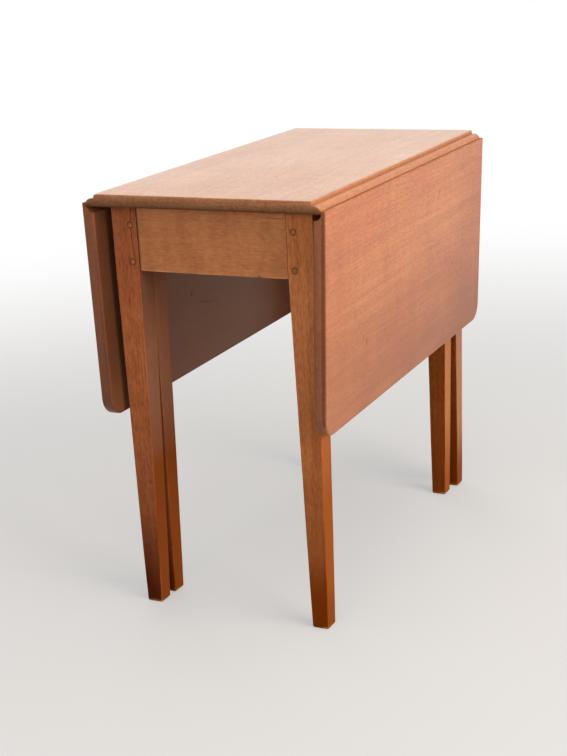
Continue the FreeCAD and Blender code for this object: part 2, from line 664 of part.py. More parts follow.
def glue_block(low, high):
    """One glue block, bored for its screw."""
    block = box((*low, UNDERSIDE - BLOCK_SQUARE), (*high, UNDERSIDE))
    return without(block, block_screws(screw))


# ---- Assembly --------------------------------------------------------------------------------------------
def frame_parts():
    """The fixed pieces that belong to neither long side."""
    parts = {"top_board": top_board()}
    for sign_y, end in ((-1, "near"), (1, "far")):
        parts[f"apron_{end}"] = apron(sign_y)
        parts[f"apron_pegs_{end}"] = Part.makeCompound(apron_pegs(-1, sign_y) + apron_pegs(1, sign_y))
        for sign_x, name in ((1, "right"), (-1, "left")):
            parts[f"leg_{end}_{name}"] = fixed_leg(sign_x, sign_y)
    for name, low, high in block_places():
        parts[name] = glue_block(low, high)
    parts["glue_block_screws"] = Part.makeCompound(block_screws(slotted))
    return parts


def side_parts(side):
    """The pieces of one long side, each in its place."""
    name = side.name
    parts = {
        f"side_rail_{name}": side.place(side_rail()),
        f"side_rail_pegs_{name}": side.place(Part.makeCompound(rail_pegs(1, -1) + rail_pegs(1, 1))),
        f"knuckle_rail_{name}": side.place(knuckle_rail()),
        f"knuckle_rail_screws_{name}": side.place(Part.makeCompound(rail_screws(slotted))),
        f"knuckle_pin_{name}": side.place(knuckle_pin()),
        f"gate_arm_{name}": side.place_on_gate(gate_arm()),
        f"gate_leg_{name}": side.place_on_gate(gate_leg(side.gate_end_taper)),
        f"gate_leg_pegs_{name}": side.place_on_gate(Part.makeCompound(gate_pegs())),
        f"leaf_{name}": side.place_on_leaf(leaf()),
        f"hinge_screws_top_{name}": side.place(Part.makeCompound(top_plate_screws(slotted))),
        f"hinge_screws_leaf_{name}": side.place_on_leaf(Part.makeCompound(leaf_plate_screws(slotted))),
    }
    for number, y in enumerate(hinge_places(), start=1):
        parts[f"hinge_top_plate_{name}_{number}"] = side.place(top_hinge_plate(y))
        parts[f"hinge_leaf_plate_{name}_{number}"] = side.place_on_leaf(leaf_hinge_plate(y))
        parts[f"hinge_pin_{name}_{number}"] = side.place(hinge_pin(y))
    return parts


def main():
    """Build every piece and write it to its own file."""
    parts = frame_parts()
    for side in SIDES:
        parts.update(side_parts(side))
    os.makedirs("parts", exist_ok=True)
    for name, shape in parts.items():
        shape.exportStep(f"parts/{name}.step")
        print(f"{name}: {len(shape.Solids)} solid(s), volume {shape.Volume / 1000.0:.1f} cm3, "
              f"valid {shape.isValid()}")
    print(f"leaf_right leans {LEAF_LEAN:.3f} degrees")
    print(f"hinge axis x {HINGE_X} z {HINGE_Z}; knuckle x {KNUCKLE_X} y {KNUCKLE_OFFSET}")


main()
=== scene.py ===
"""A drop-leaf table with rule-jointed leaves and swing legs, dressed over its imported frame.

Every class holds its sizes in millimetres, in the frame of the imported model: X across the table,
Y along it, Z up, with the origin on the floor under the middle of the top. Points become metres
when a mesh is made.
"""

import logging
import math
from dataclasses import dataclass, replace
from enum import Enum
from typing import Callable, Optional, Sequence

import bpy
import numpy as np
from mathutils import Matrix, Vector

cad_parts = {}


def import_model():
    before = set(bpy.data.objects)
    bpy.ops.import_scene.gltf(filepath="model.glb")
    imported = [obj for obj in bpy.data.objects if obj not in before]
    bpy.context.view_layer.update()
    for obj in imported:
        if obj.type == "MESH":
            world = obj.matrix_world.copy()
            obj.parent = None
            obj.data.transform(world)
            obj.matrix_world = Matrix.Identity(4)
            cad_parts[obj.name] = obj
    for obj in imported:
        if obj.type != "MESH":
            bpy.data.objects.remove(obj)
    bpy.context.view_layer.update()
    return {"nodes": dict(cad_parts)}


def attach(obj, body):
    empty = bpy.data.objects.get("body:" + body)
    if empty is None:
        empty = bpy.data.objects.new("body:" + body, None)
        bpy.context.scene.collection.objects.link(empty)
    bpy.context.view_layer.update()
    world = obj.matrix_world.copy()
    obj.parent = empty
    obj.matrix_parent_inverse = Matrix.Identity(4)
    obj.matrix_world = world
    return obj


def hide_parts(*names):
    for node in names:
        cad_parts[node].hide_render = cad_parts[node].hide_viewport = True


log = logging.getLogger("drop_leaf_table")

MM = 0.001
# Half the width of a step that looks upright, in millimetres.
HAIR = 0.02
Colour = tuple[int, int, int]
Point = tuple[float, float, float]
Socket = bpy.types.NodeSocket


# ---- Numbers and curves --------------------------------------------------------------------------
def linear(colour: Colour) -> tuple[float, float, float, float]:
    """Turn a colour of 0 to 255 into the linear light that a shader works with.

    Args:
        colour: Red, green and blue as a screen shows them.

    Returns:
        Red, green, blue and an alpha of 1.
    """
    parts = np.asarray(colour, float) / 255.0
    light = np.where(parts <= 0.04045, parts / 12.92, ((parts + 0.055) / 1.055) ** 2.4)
    return (float(light[0]), float(light[1]), float(light[2]), 1.0)


def stations(*groups: Sequence[float], apart: float = 0.01) -> np.ndarray:
    """Merge groups of positions into one rising list.

    Args:
        groups: Positions in any order.
        apart: The least distance between two that are kept.

    Returns:
        The positions, smallest first.
    """
    merged = np.unique(np.concatenate([np.asarray(group, float) for group in groups]))
    keep = np.concatenate([[True], np.diff(merged) > apart])
    return merged[keep]


def about(centre: float, reach: float, step: float) -> np.ndarray:
    """Evenly spaced positions on both sides of a centre."""
    count = int(round(reach / step))
    return centre + np.arange(-count, count + 1) * step


def rounding_drop(distance: np.ndarray, radius: float) -> np.ndarray:
    """Tell how far a quarter-round arris has fallen away from its face.

    With t the distance inwards from the edge, the drop is r - sqrt(r^2 - (r - t)^2) while t is
    less than the radius r, and nothing further in.

    Args:
        distance: Distances inwards from the edge.
        radius: Radius of the arris.

    Returns:
        The drop at each distance.
    """
    short = radius - np.clip(distance, 0.0, radius)
    return radius - np.sqrt(radius**2 - short**2)


def rounding_steps(radius: float, count: int = 7) -> np.ndarray:
    """Distances from an edge at which a quarter round turns by equal angles: r (1 - cos a)."""
    return radius * (1.0 - np.cos(np.linspace(0.0, math.pi / 2.0, count)))


def unevenness(u: np.ndarray, v: np.ndarray, seed: int, shortest: float, longest: float) -> np.ndarray:
    """Make the gentle unevenness of a hand-planed face.

    It is the mean of six sine waves, each sin(2 pi (u cos a + v sin a) / length + phase), whose
    direction a, length and phase come from a seeded generator.

    Args:
        u: First coordinate on the face.
        v: Second coordinate on the face.
        seed: Picks one set of waves.
        shortest: Shortest wavelength.
        longest: Longest wavelength.

    Returns:
        Values between -1 and 1, shaped as u and v broadcast together.
    """
    chance = np.random.default_rng(seed)
    total = np.zeros(np.broadcast(u, v).shape)
    for _ in range(6):
        angle = chance.uniform(0.0, math.pi)
        length = chance.uniform(shortest, longest)
        phase = chance.uniform(0.0, 2.0 * math.pi)
        total += np.sin(2.0 * math.pi * (u * math.cos(angle) + v * math.sin(angle)) / length + phase)
    return total / 6.0


def bell(distance: np.ndarray, width: float) -> np.ndarray:
    """A smooth bump that is 1 in the middle: exp(-(distance / width)^2)."""
    return np.exp(-((distance / width) ** 2))


# ---- Surfaces ------------------------------------------------------------------------------------
@dataclass
class Shell:
    """A closed surface made of rings of points, one ring at each station, with a cap at each end."""

    rings: np.ndarray
    dirt: Optional[np.ndarray] = None
    wear: Optional[np.ndarray] = None
    under: Optional[np.ndarray] = None

    def faces(self, first: int) -> list[list[int]]:
        """List the quads between the rings and the two caps, all facing outwards.

        The winding is turned round where the enclosed volume, the sum over the faces of a
        corner dotted with the cross product of the next two, comes out negative.

        Args:
            first: Number of the shell's first point in its mesh.

        Returns:
            Point numbers of every face.
        """
        count, around = self.rings.shape[:2]
        here = np.arange(around)
        after = (here + 1) % around
        start = np.arange(count - 1)[:, None] * around
        quads = np.stack([start + here, start + after, start + around + after, start + around + here], -1)
        quads = quads.reshape(-1, 4)
        caps = [here[::-1], here + (count - 1) * around]
        points = self.rings.reshape(-1, 3) - self.rings.reshape(-1, 3).mean(0)
        corner = points[quads]
        volume = np.einsum("ij,ij->", corner[:, 0], np.cross(corner[:, 1], corner[:, 2]))
        volume += np.einsum("ij,ij->", corner[:, 0], np.cross(corner[:, 2], corner[:, 3]))
        for cap in caps:
            ring = points[cap]
            volume += np.einsum("ij,ij->", np.repeat(ring[:1], around - 2, 0), np.cross(ring[1:-1], ring[2:]))
        turn = slice(None, None, -1) if volume < 0.0 else slice(None)
        lists = (quads[:, turn] + first).tolist()
        return lists + [(cap[turn] + first).tolist() for cap in caps]


def make_piece(name: str, shells: Sequence[Shell], sharp: float = 32.0) -> bpy.types.Object:
    """Make one object out of closed shells, with dirt and painted shade, wear and unpolished undersides as
    attributes.

    Args:
        name: Name of the object.
        shells: Its surfaces, in millimetres.
        sharp: Edges that turn by more than this many degrees stay crisp.

    Returns:
        The new object, at the origin.
    """
    faces: list[list[int]] = []
    first = 0
    for shell in shells:
        faces += shell.faces(first)
        first += shell.rings.shape[0] * shell.rings.shape[1]
    points = np.concatenate([shell.rings.reshape(-1, 3) for shell in shells]) * MM
    mesh = bpy.data.meshes.new(name)
    mesh.from_pydata(points.tolist(), [], faces)
    for word in ("dirt", "wear", "under"):
        values = [
            np.zeros(shell.rings.shape[:2]) if getattr(shell, word) is None else getattr(shell, word)
            for shell in shells
        ]
        flat = np.concatenate([np.clip(value, 0.0, 1.0).ravel() for value in values])
        mesh.attributes.new(word, "FLOAT", "POINT").data.foreach_set("value", flat.astype(np.float32))
    mesh.shade_smooth()
    mesh.set_sharp_from_angle(angle=math.radians(sharp))
    piece = bpy.data.objects.new(name, mesh)
    bpy.context.scene.collection.objects.link(piece)
    return piece


def turned_about_z(points: np.ndarray, degrees: float, x: float = 0.0, y: float = 0.0) -> np.ndarray:
    """Turn points about an upright axis.

    Args:
        points: Points, with their coordinates in the last place.
        degrees: Angle, anticlockwise from above.
        x: X of the axis.
        y: Y of the axis.

    Returns:
        The turned points.
    """
    angle = math.radians(degrees)
    dx, dy = points[..., 0] - x, points[..., 1] - y
    out = points.copy()
    out[..., 0] = x + dx * math.cos(angle) - dy * math.sin(angle)
    out[..., 1] = y + dx * math.sin(angle) + dy * math.cos(angle)
    return out


def to_end(shells: Sequence[Shell], end: str) -> Sequence[Shell]:
    """Turn shells that were made for the near end to the end that they belong to.

    Args:
        shells: The near end's shells.
        end: near or far.

    Returns:
        The same shells, half a turn on for the far end.
    """
    if end == "far":
        for shell in shells:
            shell.rings = turned_about_z(shell.rings, 180.0)
    return shells


def square_rings(
    low: np.ndarray, high: np.ndarray, z: np.ndarray, radius: np.ndarray, sides: Sequence[np.ndarray]
) -> np.ndarray:
    """Stack rounded rectangles into the rings of a leg.

    Each ring goes round the faces -Y, +X, +Y and -X. Along a face the points divide the straight
    part between the two rounded corners, and each corner is a quarter circle of the ring's radius.

    Args:
        low: X and Y of the low corner at each station.
        high: X and Y of the high corner at each station.
        z: Height of each station.
        radius: Corner radius at each station.
        sides: For each of the four faces, fractions from 0 to 1 along it, ends left out.

    Returns:
        Rings of points, stations by points by 3.
    """
    turn = np.linspace(0.0, math.pi / 2.0, 6)
    parts: list[np.ndarray] = []
    x0, y0, x1, y1 = low[:, :1], low[:, 1:], high[:, :1], high[:, 1:]
    r = radius[:, None]
    corners = ((x1 - r, y0 + r, -math.pi / 2.0), (x1 - r, y1 - r, 0.0),
               (x0 + r, y1 - r, math.pi / 2.0), (x0 + r, y0 + r, math.pi))
    starts = ((x0 + r, y0), (x1, y0 + r), (x1 - r, y1), (x0, y1 - r))
    ends = ((x1 - r, y0), (x1, y1 - r), (x0 + r, y1), (x0, y0 + r))
    for side, (cx, cy, angle) in enumerate(corners):
        along = np.asarray(sides[side])[None, :]
        straight_x = starts[side][0] + (ends[side][0] - starts[side][0]) * along
        straight_y = starts[side][1] + (ends[side][1] - starts[side][1]) * along
        parts.append(np.stack([straight_x, straight_y], -1))
        parts.append(np.stack([cx + r * np.cos(angle + turn), cy + r * np.sin(angle + turn)], -1))
    flat = np.concatenate(parts, 1)
    height = np.broadcast_to(z[:, None, None], flat.shape[:2] + (1,))
    return np.concatenate([flat, height], -1)


# ---- Finishes ------------------------------------------------------------------------------------
class Grain(Enum):
    """Which axes run across, through and along a board, as numbers of X, Y and Z."""

    TOP = (0, 2, 1)
    LEAF = (2, 0, 1)
    APRON = (2, 1, 0)
    LEG = (0, 1, 2)


class Graph:
    """A material's node tree, with short calls for the steps that the finishes share."""

    def __init__(self, name: str) -> None:
        """Start an empty material with its surface shader.

        Args:
            name: Name of the material.
        """
        self.material = bpy.data.materials.new(name)
        self.material.use_nodes = True
        self.tree = self.material.node_tree
        self.tree.nodes.clear()
        self.output = self.tree.nodes.new("ShaderNodeOutputMaterial")
        self.shader = self.tree.nodes.new("ShaderNodeBsdfPrincipled")
        self.tree.links.new(self.shader.outputs["BSDF"], self.output.inputs["Surface"])
        self.coordinates = self.tree.nodes.new("ShaderNodeTexCoord")

    def put(self, socket: Socket, value: object) -> None:
        """Link a socket to another, or give it a constant.

        Args:
            socket: The input to feed.
            value: The socket or the constant that feeds it.
        """
        if isinstance(value, Socket):
            self.tree.links.new(value, socket)
        else:
            socket.default_value = value

    def step(self, kind: str, operation: str, first: object, second: object) -> bpy.types.Node:
        """Add a node of arithmetic and feed its two inputs.

        Args:
            kind: Blender's name of the node.
            operation: Blender's name of the operation.
            first: The first operand.
            second: The second operand.

        Returns:
            The node.
        """
        node = self.tree.nodes.new(kind)
        node.operation = operation
        self.put(node.inputs[0], first)
        self.put(node.inputs[1], second)
        return node

    def math(self, operation: str, first: object, second: object = 0.0) -> Socket:
        """One step of arithmetic on numbers."""
        return self.step("ShaderNodeMath", operation, first, second).outputs[0]

    def plus(self, first: object, second: object) -> Socket:
        """The sum of two numbers."""
        return self.math("ADD", first, second)

    def times(self, first: object, second: object) -> Socket:
        """The product of two numbers."""
        return self.math("MULTIPLY", first, second)

    def vector(self, operation: str, first: object, second: object = (0.0, 0.0, 0.0)) -> Socket:
        """One step of arithmetic on vectors; the answer is a number for a length or a dot product."""
        node = self.step("ShaderNodeVectorMath", operation, first, second)
        return node.outputs["Value" if operation in ("LENGTH", "DOT_PRODUCT") else "Vector"]

    def ramp(self, value: object, low: float, high: float, bottom: float = 0.0, top: float = 1.0) -> Socket:
        """Step smoothly from bottom to top as the value goes from low to high.

        Args:
            value: The number that drives the step.
            low: Where the step starts.
            high: Where it ends.
            bottom: The answer up to its start.
            top: The answer from its end on.

        Returns:
            The answer.
        """
        node = self.tree.nodes.new("ShaderNodeMapRange")
        node.interpolation_type = "SMOOTHSTEP"
        for socket, number in zip(node.inputs[:5], (value, low, high, bottom, top)):
            self.put(socket, number)
        return node.outputs[0]

    def noise(self, place: object, waves: Point, detail: float = 2.0, rough: float = 0.5,
              output: str = "Fac") -> Socket:
        """Make soft noise.

        Args:
            place: The point, in metres.
            waves: Waves to the metre along each axis.
            detail: How many finer layers lie over the first.
            rough: How strong the finer layers are.
            output: Fac for a number, Color for a colour.

        Returns:
            The noise, 0.5 in the middle.
        """
        node = self.tree.nodes.new("ShaderNodeTexNoise")
        self.put(node.inputs["Vector"], self.vector("MULTIPLY", place, waves))
        node.inputs["Scale"].default_value = 1.0
        node.inputs["Detail"].default_value = detail
        node.inputs["Roughness"].default_value = rough
        return node.outputs[output]

    def mix(self, share: object, first: object, second: object, blend: str = "MIX") -> Socket:
        """Mix two colours.

        Args:
            share: How much of the second shows.
            first: The colour below.
            second: The colour above.
            blend: Blender's name of the way to mix.

        Returns:
            The mixed colour.
        """
        node = self.tree.nodes.new("ShaderNodeMix")
        node.data_type = "RGBA"
        node.blend_type = blend
        self.put(node.inputs[0], share)
        self.put(node.inputs[6], first)
        self.put(node.inputs[7], second)
        return node.outputs[2]

    def attribute(self, name: str) -> Socket:
        """Read a point attribute of the piece.

        Args:
            name: Name of the attribute.

        Returns:
            Its value, which is 0 on a piece that has none.
        """
        node = self.tree.nodes.new("ShaderNodeAttribute")
        node.attribute_name = name
        return node.outputs["Fac"]

    def blot(self, mark: "Mark") -> Socket:
        """Tell how much of a mark lies here.

        Args:
            mark: The mark.

        Returns:
            Its depth in the middle of its ellipsoid, fading to 0 at its skin.
        """
        node = self.tree.nodes.new("ShaderNodeMapping")
        node.vector_type = "TEXTURE"
        self.put(node.inputs["Vector"], self.coordinates.outputs["Object"])
        node.inputs["Location"].default_value = [value * MM for value in mark.centre]
        node.inputs["Rotation"].default_value = [math.radians(value) for value in mark.turn]
        node.inputs["Scale"].default_value = [value * MM for value in mark.reach]
        return self.ramp(self.vector("LENGTH", node.outputs["Vector"]), 0.35, 1.0, mark.depth, 0.0)

    def relief(self, height: object, distance: float, strength: float) -> None:
        """Give the surface a bump.

        Args:
            height: The height, from 0 to 1.
            distance: Metres that a height of 1 stands for.
            strength: How strongly the bump turns the light.
        """
        node = self.tree.nodes.new("ShaderNodeBump")
        node.inputs["Strength"].default_value = strength
        node.inputs["Distance"].default_value = distance
        self.put(node.inputs["Height"], height)
        self.put(self.shader.inputs["Normal"], node.outputs["Normal"])

    def set(self, **constants: object) -> None:
        """Set the shader's own constants, named with underscores for spaces."""
        for name, value in constants.items():
            self.shader.inputs[name.replace("_", " ")].default_value = value


@dataclass(frozen=True)
class Mark:
    """A dark spot, a scratch, or a patch of painted shade: an ellipsoid in the wood, turned by degrees about
    X, Y and Z.
    """

    centre: Point
    reach: Point
    turn: Point = (0.0, 0.0, 0.0)
    depth: float = 0.6


class Facing(Enum):
    """Which faces a band of painted shade lies on: all, those turned to +X, or the others."""

    ALL = "all"
    SUNNY = "sunny"
    SHADED = "shaded"


@dataclass(frozen=True)
class FloorShade:
    """Painted shade towards the floor: its share there, gone at its height in metres.

    A share of more than 1 keeps the colour full for part of the way up.
    """

    colour: Colour
    height: float
    share: float
    facing: Facing = Facing.ALL


@dataclass(frozen=True)
class Figure:
    """The parts of a board's figure, as sockets of its material."""

    place: Socket
    tone: Socket
    fibre: Socket
    mottle: Socket
    patina: Socket
    pores: Socket


@dataclass(frozen=True)
class Timber:
    """A wood finish: its colours, how strong each part of its figure is, and its polish."""

    slot: str
    pale: Colour
    dark: Colour
    tint: Colour
    pore: Colour
    worn: Colour
    grime_and_shade: Colour
    # Colour of the bare underside, also darkened as painted shade for the shade beneath the table.
    under: Colour = (90, 52, 32)
    ring_pitch: float = 3.4
    ring_depth: float = 60.0
    ring: float = 0.10
    streak: float = 0.30
    fibre: float = 0.20
    fleck: float = 0.25
    mottle: float = 0.25
    patina: float = 0.5
    pores: float = 0.35
    roughness: float = 0.38
    gloss: float = 0.5
    coat: float = 0.25
    coat_roughness: float = 0.22
    end_shade: Point = (0.78, 0.757, 0.733)
    floor_shades: tuple[FloorShade, ...] = ()
    sheen_tint: Colour = (255, 255, 255)
    # A colour painted on the faces turned to +X, as painted light on some legs and painted shade on others,
    # and its share.
    x_side_light_and_shade: Colour = (184, 116, 66)
    x_side_light_and_shade_share: float = 0.0

    # Waves to the metre across, through and along the grain.
    DRIFT_WAVES = (7.0, 7.0, 1.3)
    STREAK_WAVES = (75.0, 75.0, 1.7)
    FIBRE_WAVES = (430.0, 430.0, 8.0)
    FLECK_WAVES = (260.0, 260.0, 78.0)
    MOTTLE_WAVES = (11.0, 11.0, 34.0)
    PATINA_WAVES = (7.0, 7.0, 3.2)
    PORE_WAVES = (800.0, 800.0, 95.0)
    CLUSTER_WAVES = (16.0, 16.0, 6.0)
    SCUFF_WAVES = (60.0, 60.0, 22.0)
    # Where the soft edges of the patina's patches, of the pores' clusters, of the pores, of the scuffs
    # and of the patches of painted shade towards the floor lie in their noise.
    PATINA_EDGE = (0.38, 0.68)
    CLUSTER_EDGE = (0.35, 0.65)
    PORE_EDGE = (0.56, 0.72)
    SCUFF_EDGE = (0.40, 0.62)
    FLOOR_SHADE_EDGE = (0.2, 0.6)
    # How far a face turns towards +X before it takes that side's painted light and shade, and towards the
    # grain before it is end grain.
    SUNNY_EDGE = (0.4, 0.9)
    END_EDGE = (0.55, 0.9)
    # How far the drift carries the grain across and through the board, in metres.
    DRIFT = (0.05, 0.05, 0.0)
    # The darker part of the patina, as a share of its tint.
    DEEPER = 0.87
    # What patina, dirt and painted shade with wear, and end grain add to the roughness.
    PATINA_ROUGHNESS = 0.22
    DIRT_AND_SHADE_ROUGHNESS = 0.2
    END_ROUGHNESS = 0.12
    # The relief: its height in metres, its strength, and the share of fibres, pores and mottle in it.
    RELIEF = 0.00012
    RELIEF_STRENGTH = 0.55
    FIBRE_RELIEF = 0.5
    PORE_RELIEF = 0.8
    MOTTLE_RELIEF = 0.8

    def figure(self, graph: Graph, place: Socket) -> Figure:
        """Draw the figure of the wood.

        Growth rings are circles about a pith below the board, warped by slow noise; fibres, pores
        and streaks are noise drawn out along the grain, and the mottle is drawn out across it. The
        tone is a half plus each pattern about its middle, times its strength.

        Args:
            graph: The material's nodes.
            place: Point of the log, in metres across, through and along the grain.

        Returns:
            The parts of the figure.
        """
        drift = graph.noise(place, self.DRIFT_WAVES, output="Color")
        centred = graph.vector("SUBTRACT", drift, (0.5, 0.5, 0.5))
        warped = graph.vector("ADD", place, graph.vector("MULTIPLY", centred, self.DRIFT))
        from_pith = graph.vector("ADD", warped, (0.0, self.ring_depth * MM, 0.0))
        radius = graph.vector("LENGTH", graph.vector("MULTIPLY", from_pith, (1.0, 1.0, 0.0)))
        rings = graph.math("SINE", graph.times(radius, 2.0 * math.pi / (self.ring_pitch * MM)))
        streak = graph.noise(warped, self.STREAK_WAVES, 3.0, 0.6)
        fibre = graph.noise(place, self.FIBRE_WAVES, 3.0, 0.6)
        fleck = graph.noise(warped, self.FLECK_WAVES, 5.0, 0.7)
        mottle = graph.noise(warped, self.MOTTLE_WAVES, 3.0)
        tone = graph.plus(0.5, graph.times(graph.times(rings, 0.5), self.ring))
        for pattern, strength in (
            (streak, self.streak), (fibre, self.fibre), (fleck, self.fleck), (mottle, self.mottle)
        ):
            tone = graph.plus(tone, graph.times(graph.math("SUBTRACT", pattern, 0.5), 2.0 * strength))
        clustered = graph.ramp(graph.noise(place, self.CLUSTER_WAVES), *self.CLUSTER_EDGE, 0.25, 1.0)
        pores = graph.ramp(graph.noise(warped, self.PORE_WAVES, 2.0, 0.6), *self.PORE_EDGE)
        patina = graph.noise(place, self.PATINA_WAVES, 3.0)
        return Figure(place, tone, fibre, mottle, patina, graph.times(pores, clustered))

    def colour(self, graph: Graph, figure: Figure, height: Socket) -> Socket:
        """Colour the wood by its figure and its age.

        The tone runs from dark to pale. Over it lie the patina in soft patches, painted light and shade on
        the faces turned to +X, painted shade towards the floor, the bare wood underneath, whose colour is
        partly painted shade, and the pores.

        Args:
            graph: The material's nodes.
            figure: The figure of the wood.
            height: Height above the floor, in metres.

        Returns:
            The colour.
        """
        tone = figure.tone
        colour = graph.mix(graph.ramp(tone, 0.0, 1.0), linear(self.dark), linear(self.pale))
        deeper = linear(tuple(int(part * self.DEEPER) for part in self.tint))
        aged = graph.mix(graph.ramp(tone, 0.1, 0.7), deeper, linear(self.tint))
        colour = graph.mix(graph.ramp(figure.patina, *self.PATINA_EDGE, 0.0, self.patina), colour, aged)
        towards_x = graph.vector("DOT_PRODUCT", graph.coordinates.outputs["Normal"], (1.0, 0.0, 0.0))
        sunny = graph.ramp(towards_x, *self.SUNNY_EDGE)
        # Painted light and shade on the faces turned to +X.
        if self.x_side_light_and_shade_share:
            x_side_lit = graph.mix(graph.ramp(tone, 0.0, 1.0, 0.25, 0.0), linear(self.x_side_light_and_shade), linear(self.dark))
            colour = graph.mix(graph.times(sunny, self.x_side_light_and_shade_share), colour, x_side_lit)
        # Painted shade towards the floor, on the faces that each band picks.
        for floor_shade in self.floor_shades:
            share = graph.ramp(height, 0.0, floor_shade.height, floor_shade.share, 0.0)
            share = graph.times(share, graph.ramp(figure.patina, *self.FLOOR_SHADE_EDGE, 0.55, 1.0))
            if floor_shade.facing is Facing.SUNNY:
                share = graph.times(share, sunny)
            elif floor_shade.facing is Facing.SHADED:
                share = graph.times(share, graph.math("SUBTRACT", 1.0, sunny))
            colour = graph.mix(share, colour, linear(floor_shade.colour))
        # The bare underside, whose colour is partly painted shade.
        bare_and_shaded = graph.times(graph.attribute("under"), graph.ramp(tone, 0.1, 0.9, 0.98, 0.80))
        colour = graph.mix(bare_and_shaded, colour, linear(self.under))
        return graph.mix(graph.times(figure.pores, self.pores), colour, linear(self.pore))

    def material(self, piece: str, grain: Grain, shift: Point,
                 marks: Sequence[Mark] = ()) -> bpy.types.Material:
        """Make the finish for one piece, cut from its own place in the log.

        End grain is shaded, worn arrises show through in scuffed patches, and dirt, painted shade and marks
        lie over all. Fibres stand up, and pores sink in, by less than a tenth of a millimetre.

        Args:
            piece: Name of the piece.
            grain: How the board lies in the piece's axes.
            shift: Where in the log the board is cut, in metres.
            marks: Spots, scratches and patches of painted shade.

        Returns:
            The material.
        """
        graph = Graph(f"{self.slot}_{piece}")
        split = graph.tree.nodes.new("ShaderNodeSeparateXYZ")
        graph.put(split.inputs[0], graph.coordinates.outputs["Object"])
        join = graph.tree.nodes.new("ShaderNodeCombineXYZ")
        for socket, axis in zip(join.inputs, grain.value):
            graph.put(socket, split.outputs[axis])
        figure = self.figure(graph, graph.vector("ADD", join.outputs[0], shift))
        colour = self.colour(graph, figure, split.outputs[2])

        normal = graph.vector("ABSOLUTE", graph.coordinates.outputs["Normal"])
        along = tuple(1.0 if axis == grain.value[2] else 0.0 for axis in range(3))
        end = graph.ramp(graph.vector("DOT_PRODUCT", normal, along), *self.END_EDGE)
        shade = graph.mix(end, (1.0, 1.0, 1.0, 1.0), (*self.end_shade, 1.0))
        colour = graph.mix(1.0, colour, shade, "MULTIPLY")

        scuffed = graph.ramp(graph.noise(figure.place, self.SCUFF_WAVES, 3.0), *self.SCUFF_EDGE)
        wear = graph.times(graph.attribute("wear"), scuffed)
        dirt = graph.attribute("dirt")
        for mark in marks:
            dirt = graph.math("MAXIMUM", dirt, graph.blot(mark))
        colour = graph.mix(wear, colour, linear(self.worn))
        # Dirt and painted shade darken the colour towards the grime colour.
        graph.put(graph.shader.inputs["Base Color"], graph.mix(dirt, colour, linear(self.grime_and_shade)))

        matt = graph.times(graph.math("SUBTRACT", figure.patina, 0.5), self.PATINA_ROUGHNESS)
        rough = graph.plus(self.roughness, matt)
        rough = graph.plus(rough, graph.times(graph.plus(dirt, wear), self.DIRT_AND_SHADE_ROUGHNESS))
        rough = graph.plus(rough, graph.times(end, self.END_ROUGHNESS))
        graph.put(graph.shader.inputs["Roughness"], rough)
        graph.set(IOR=1.45, Specular_IOR_Level=self.gloss, Coat_Weight=self.coat,
                  Coat_Roughness=self.coat_roughness, Specular_Tint=linear(self.sheen_tint))
        grain_height = graph.math("SUBTRACT", graph.times(figure.fibre, self.FIBRE_RELIEF),
                                  graph.times(figure.pores, self.PORE_RELIEF))
        ripple = graph.times(figure.mottle, self.MOTTLE_RELIEF)
        graph.relief(graph.plus(grain_height, ripple), self.RELIEF, self.RELIEF_STRENGTH)
        return graph.material


@dataclass(frozen=True)
class Metal:
    """An iron or steel finish with rust in its hollows."""

    slot: str
    colour: Colour
    rust: Colour
    rust_share: float
    roughness: float
    metallic: float = 0.85

    # Waves to the metre of the scale on the metal and of the rust.
    SCALE_WAVES = (900.0, 900.0, 900.0)
    RUST_WAVES = (150.0, 150.0, 150.0)
    # The metal in the hollows of its scale, as a share of its colour.
    DARKER = 0.7
    # What rust leaves of the metal's shine, and adds to its roughness.
    RUSTY_METALLIC = 0.1
    RUSTY_ROUGHNESS = 0.35
    # The relief: its height in metres and its strength.
    RELIEF = 0.00008
    RELIEF_STRENGTH = 0.5

    def material(self, piece: str) -> bpy.types.Material:
        """Make the finish: fine noise for the scale on the metal, broad noise for the rust.

        Args:
            piece: Name of the piece.

        Returns:
            The material.
        """
        graph = Graph(f"{self.slot}_{piece}")
        place = graph.coordinates.outputs["Object"]
        scale = graph.noise(place, self.SCALE_WAVES, 3.0)
        rust = graph.ramp(graph.noise(place, self.RUST_WAVES, 4.0, 0.65), 0.45, 0.68, 0.0, self.rust_share)
        darker = tuple(int(part * self.DARKER) for part in self.colour)
        colour = graph.mix(scale, linear(darker), linear(self.colour))
        graph.put(graph.shader.inputs["Base Color"], graph.mix(rust, colour, linear(self.rust)))
        shine = graph.ramp(rust, 0.0, 1.0, self.metallic, self.RUSTY_METALLIC)
        graph.put(graph.shader.inputs["Metallic"], shine)
        rough = graph.plus(self.roughness, graph.times(rust, self.RUSTY_ROUGHNESS))
        graph.put(graph.shader.inputs["Roughness"], rough)
        graph.set(Specular_IOR_Level=0.5)
        graph.relief(scale, self.RELIEF, self.RELIEF_STRENGTH)
        return graph.material


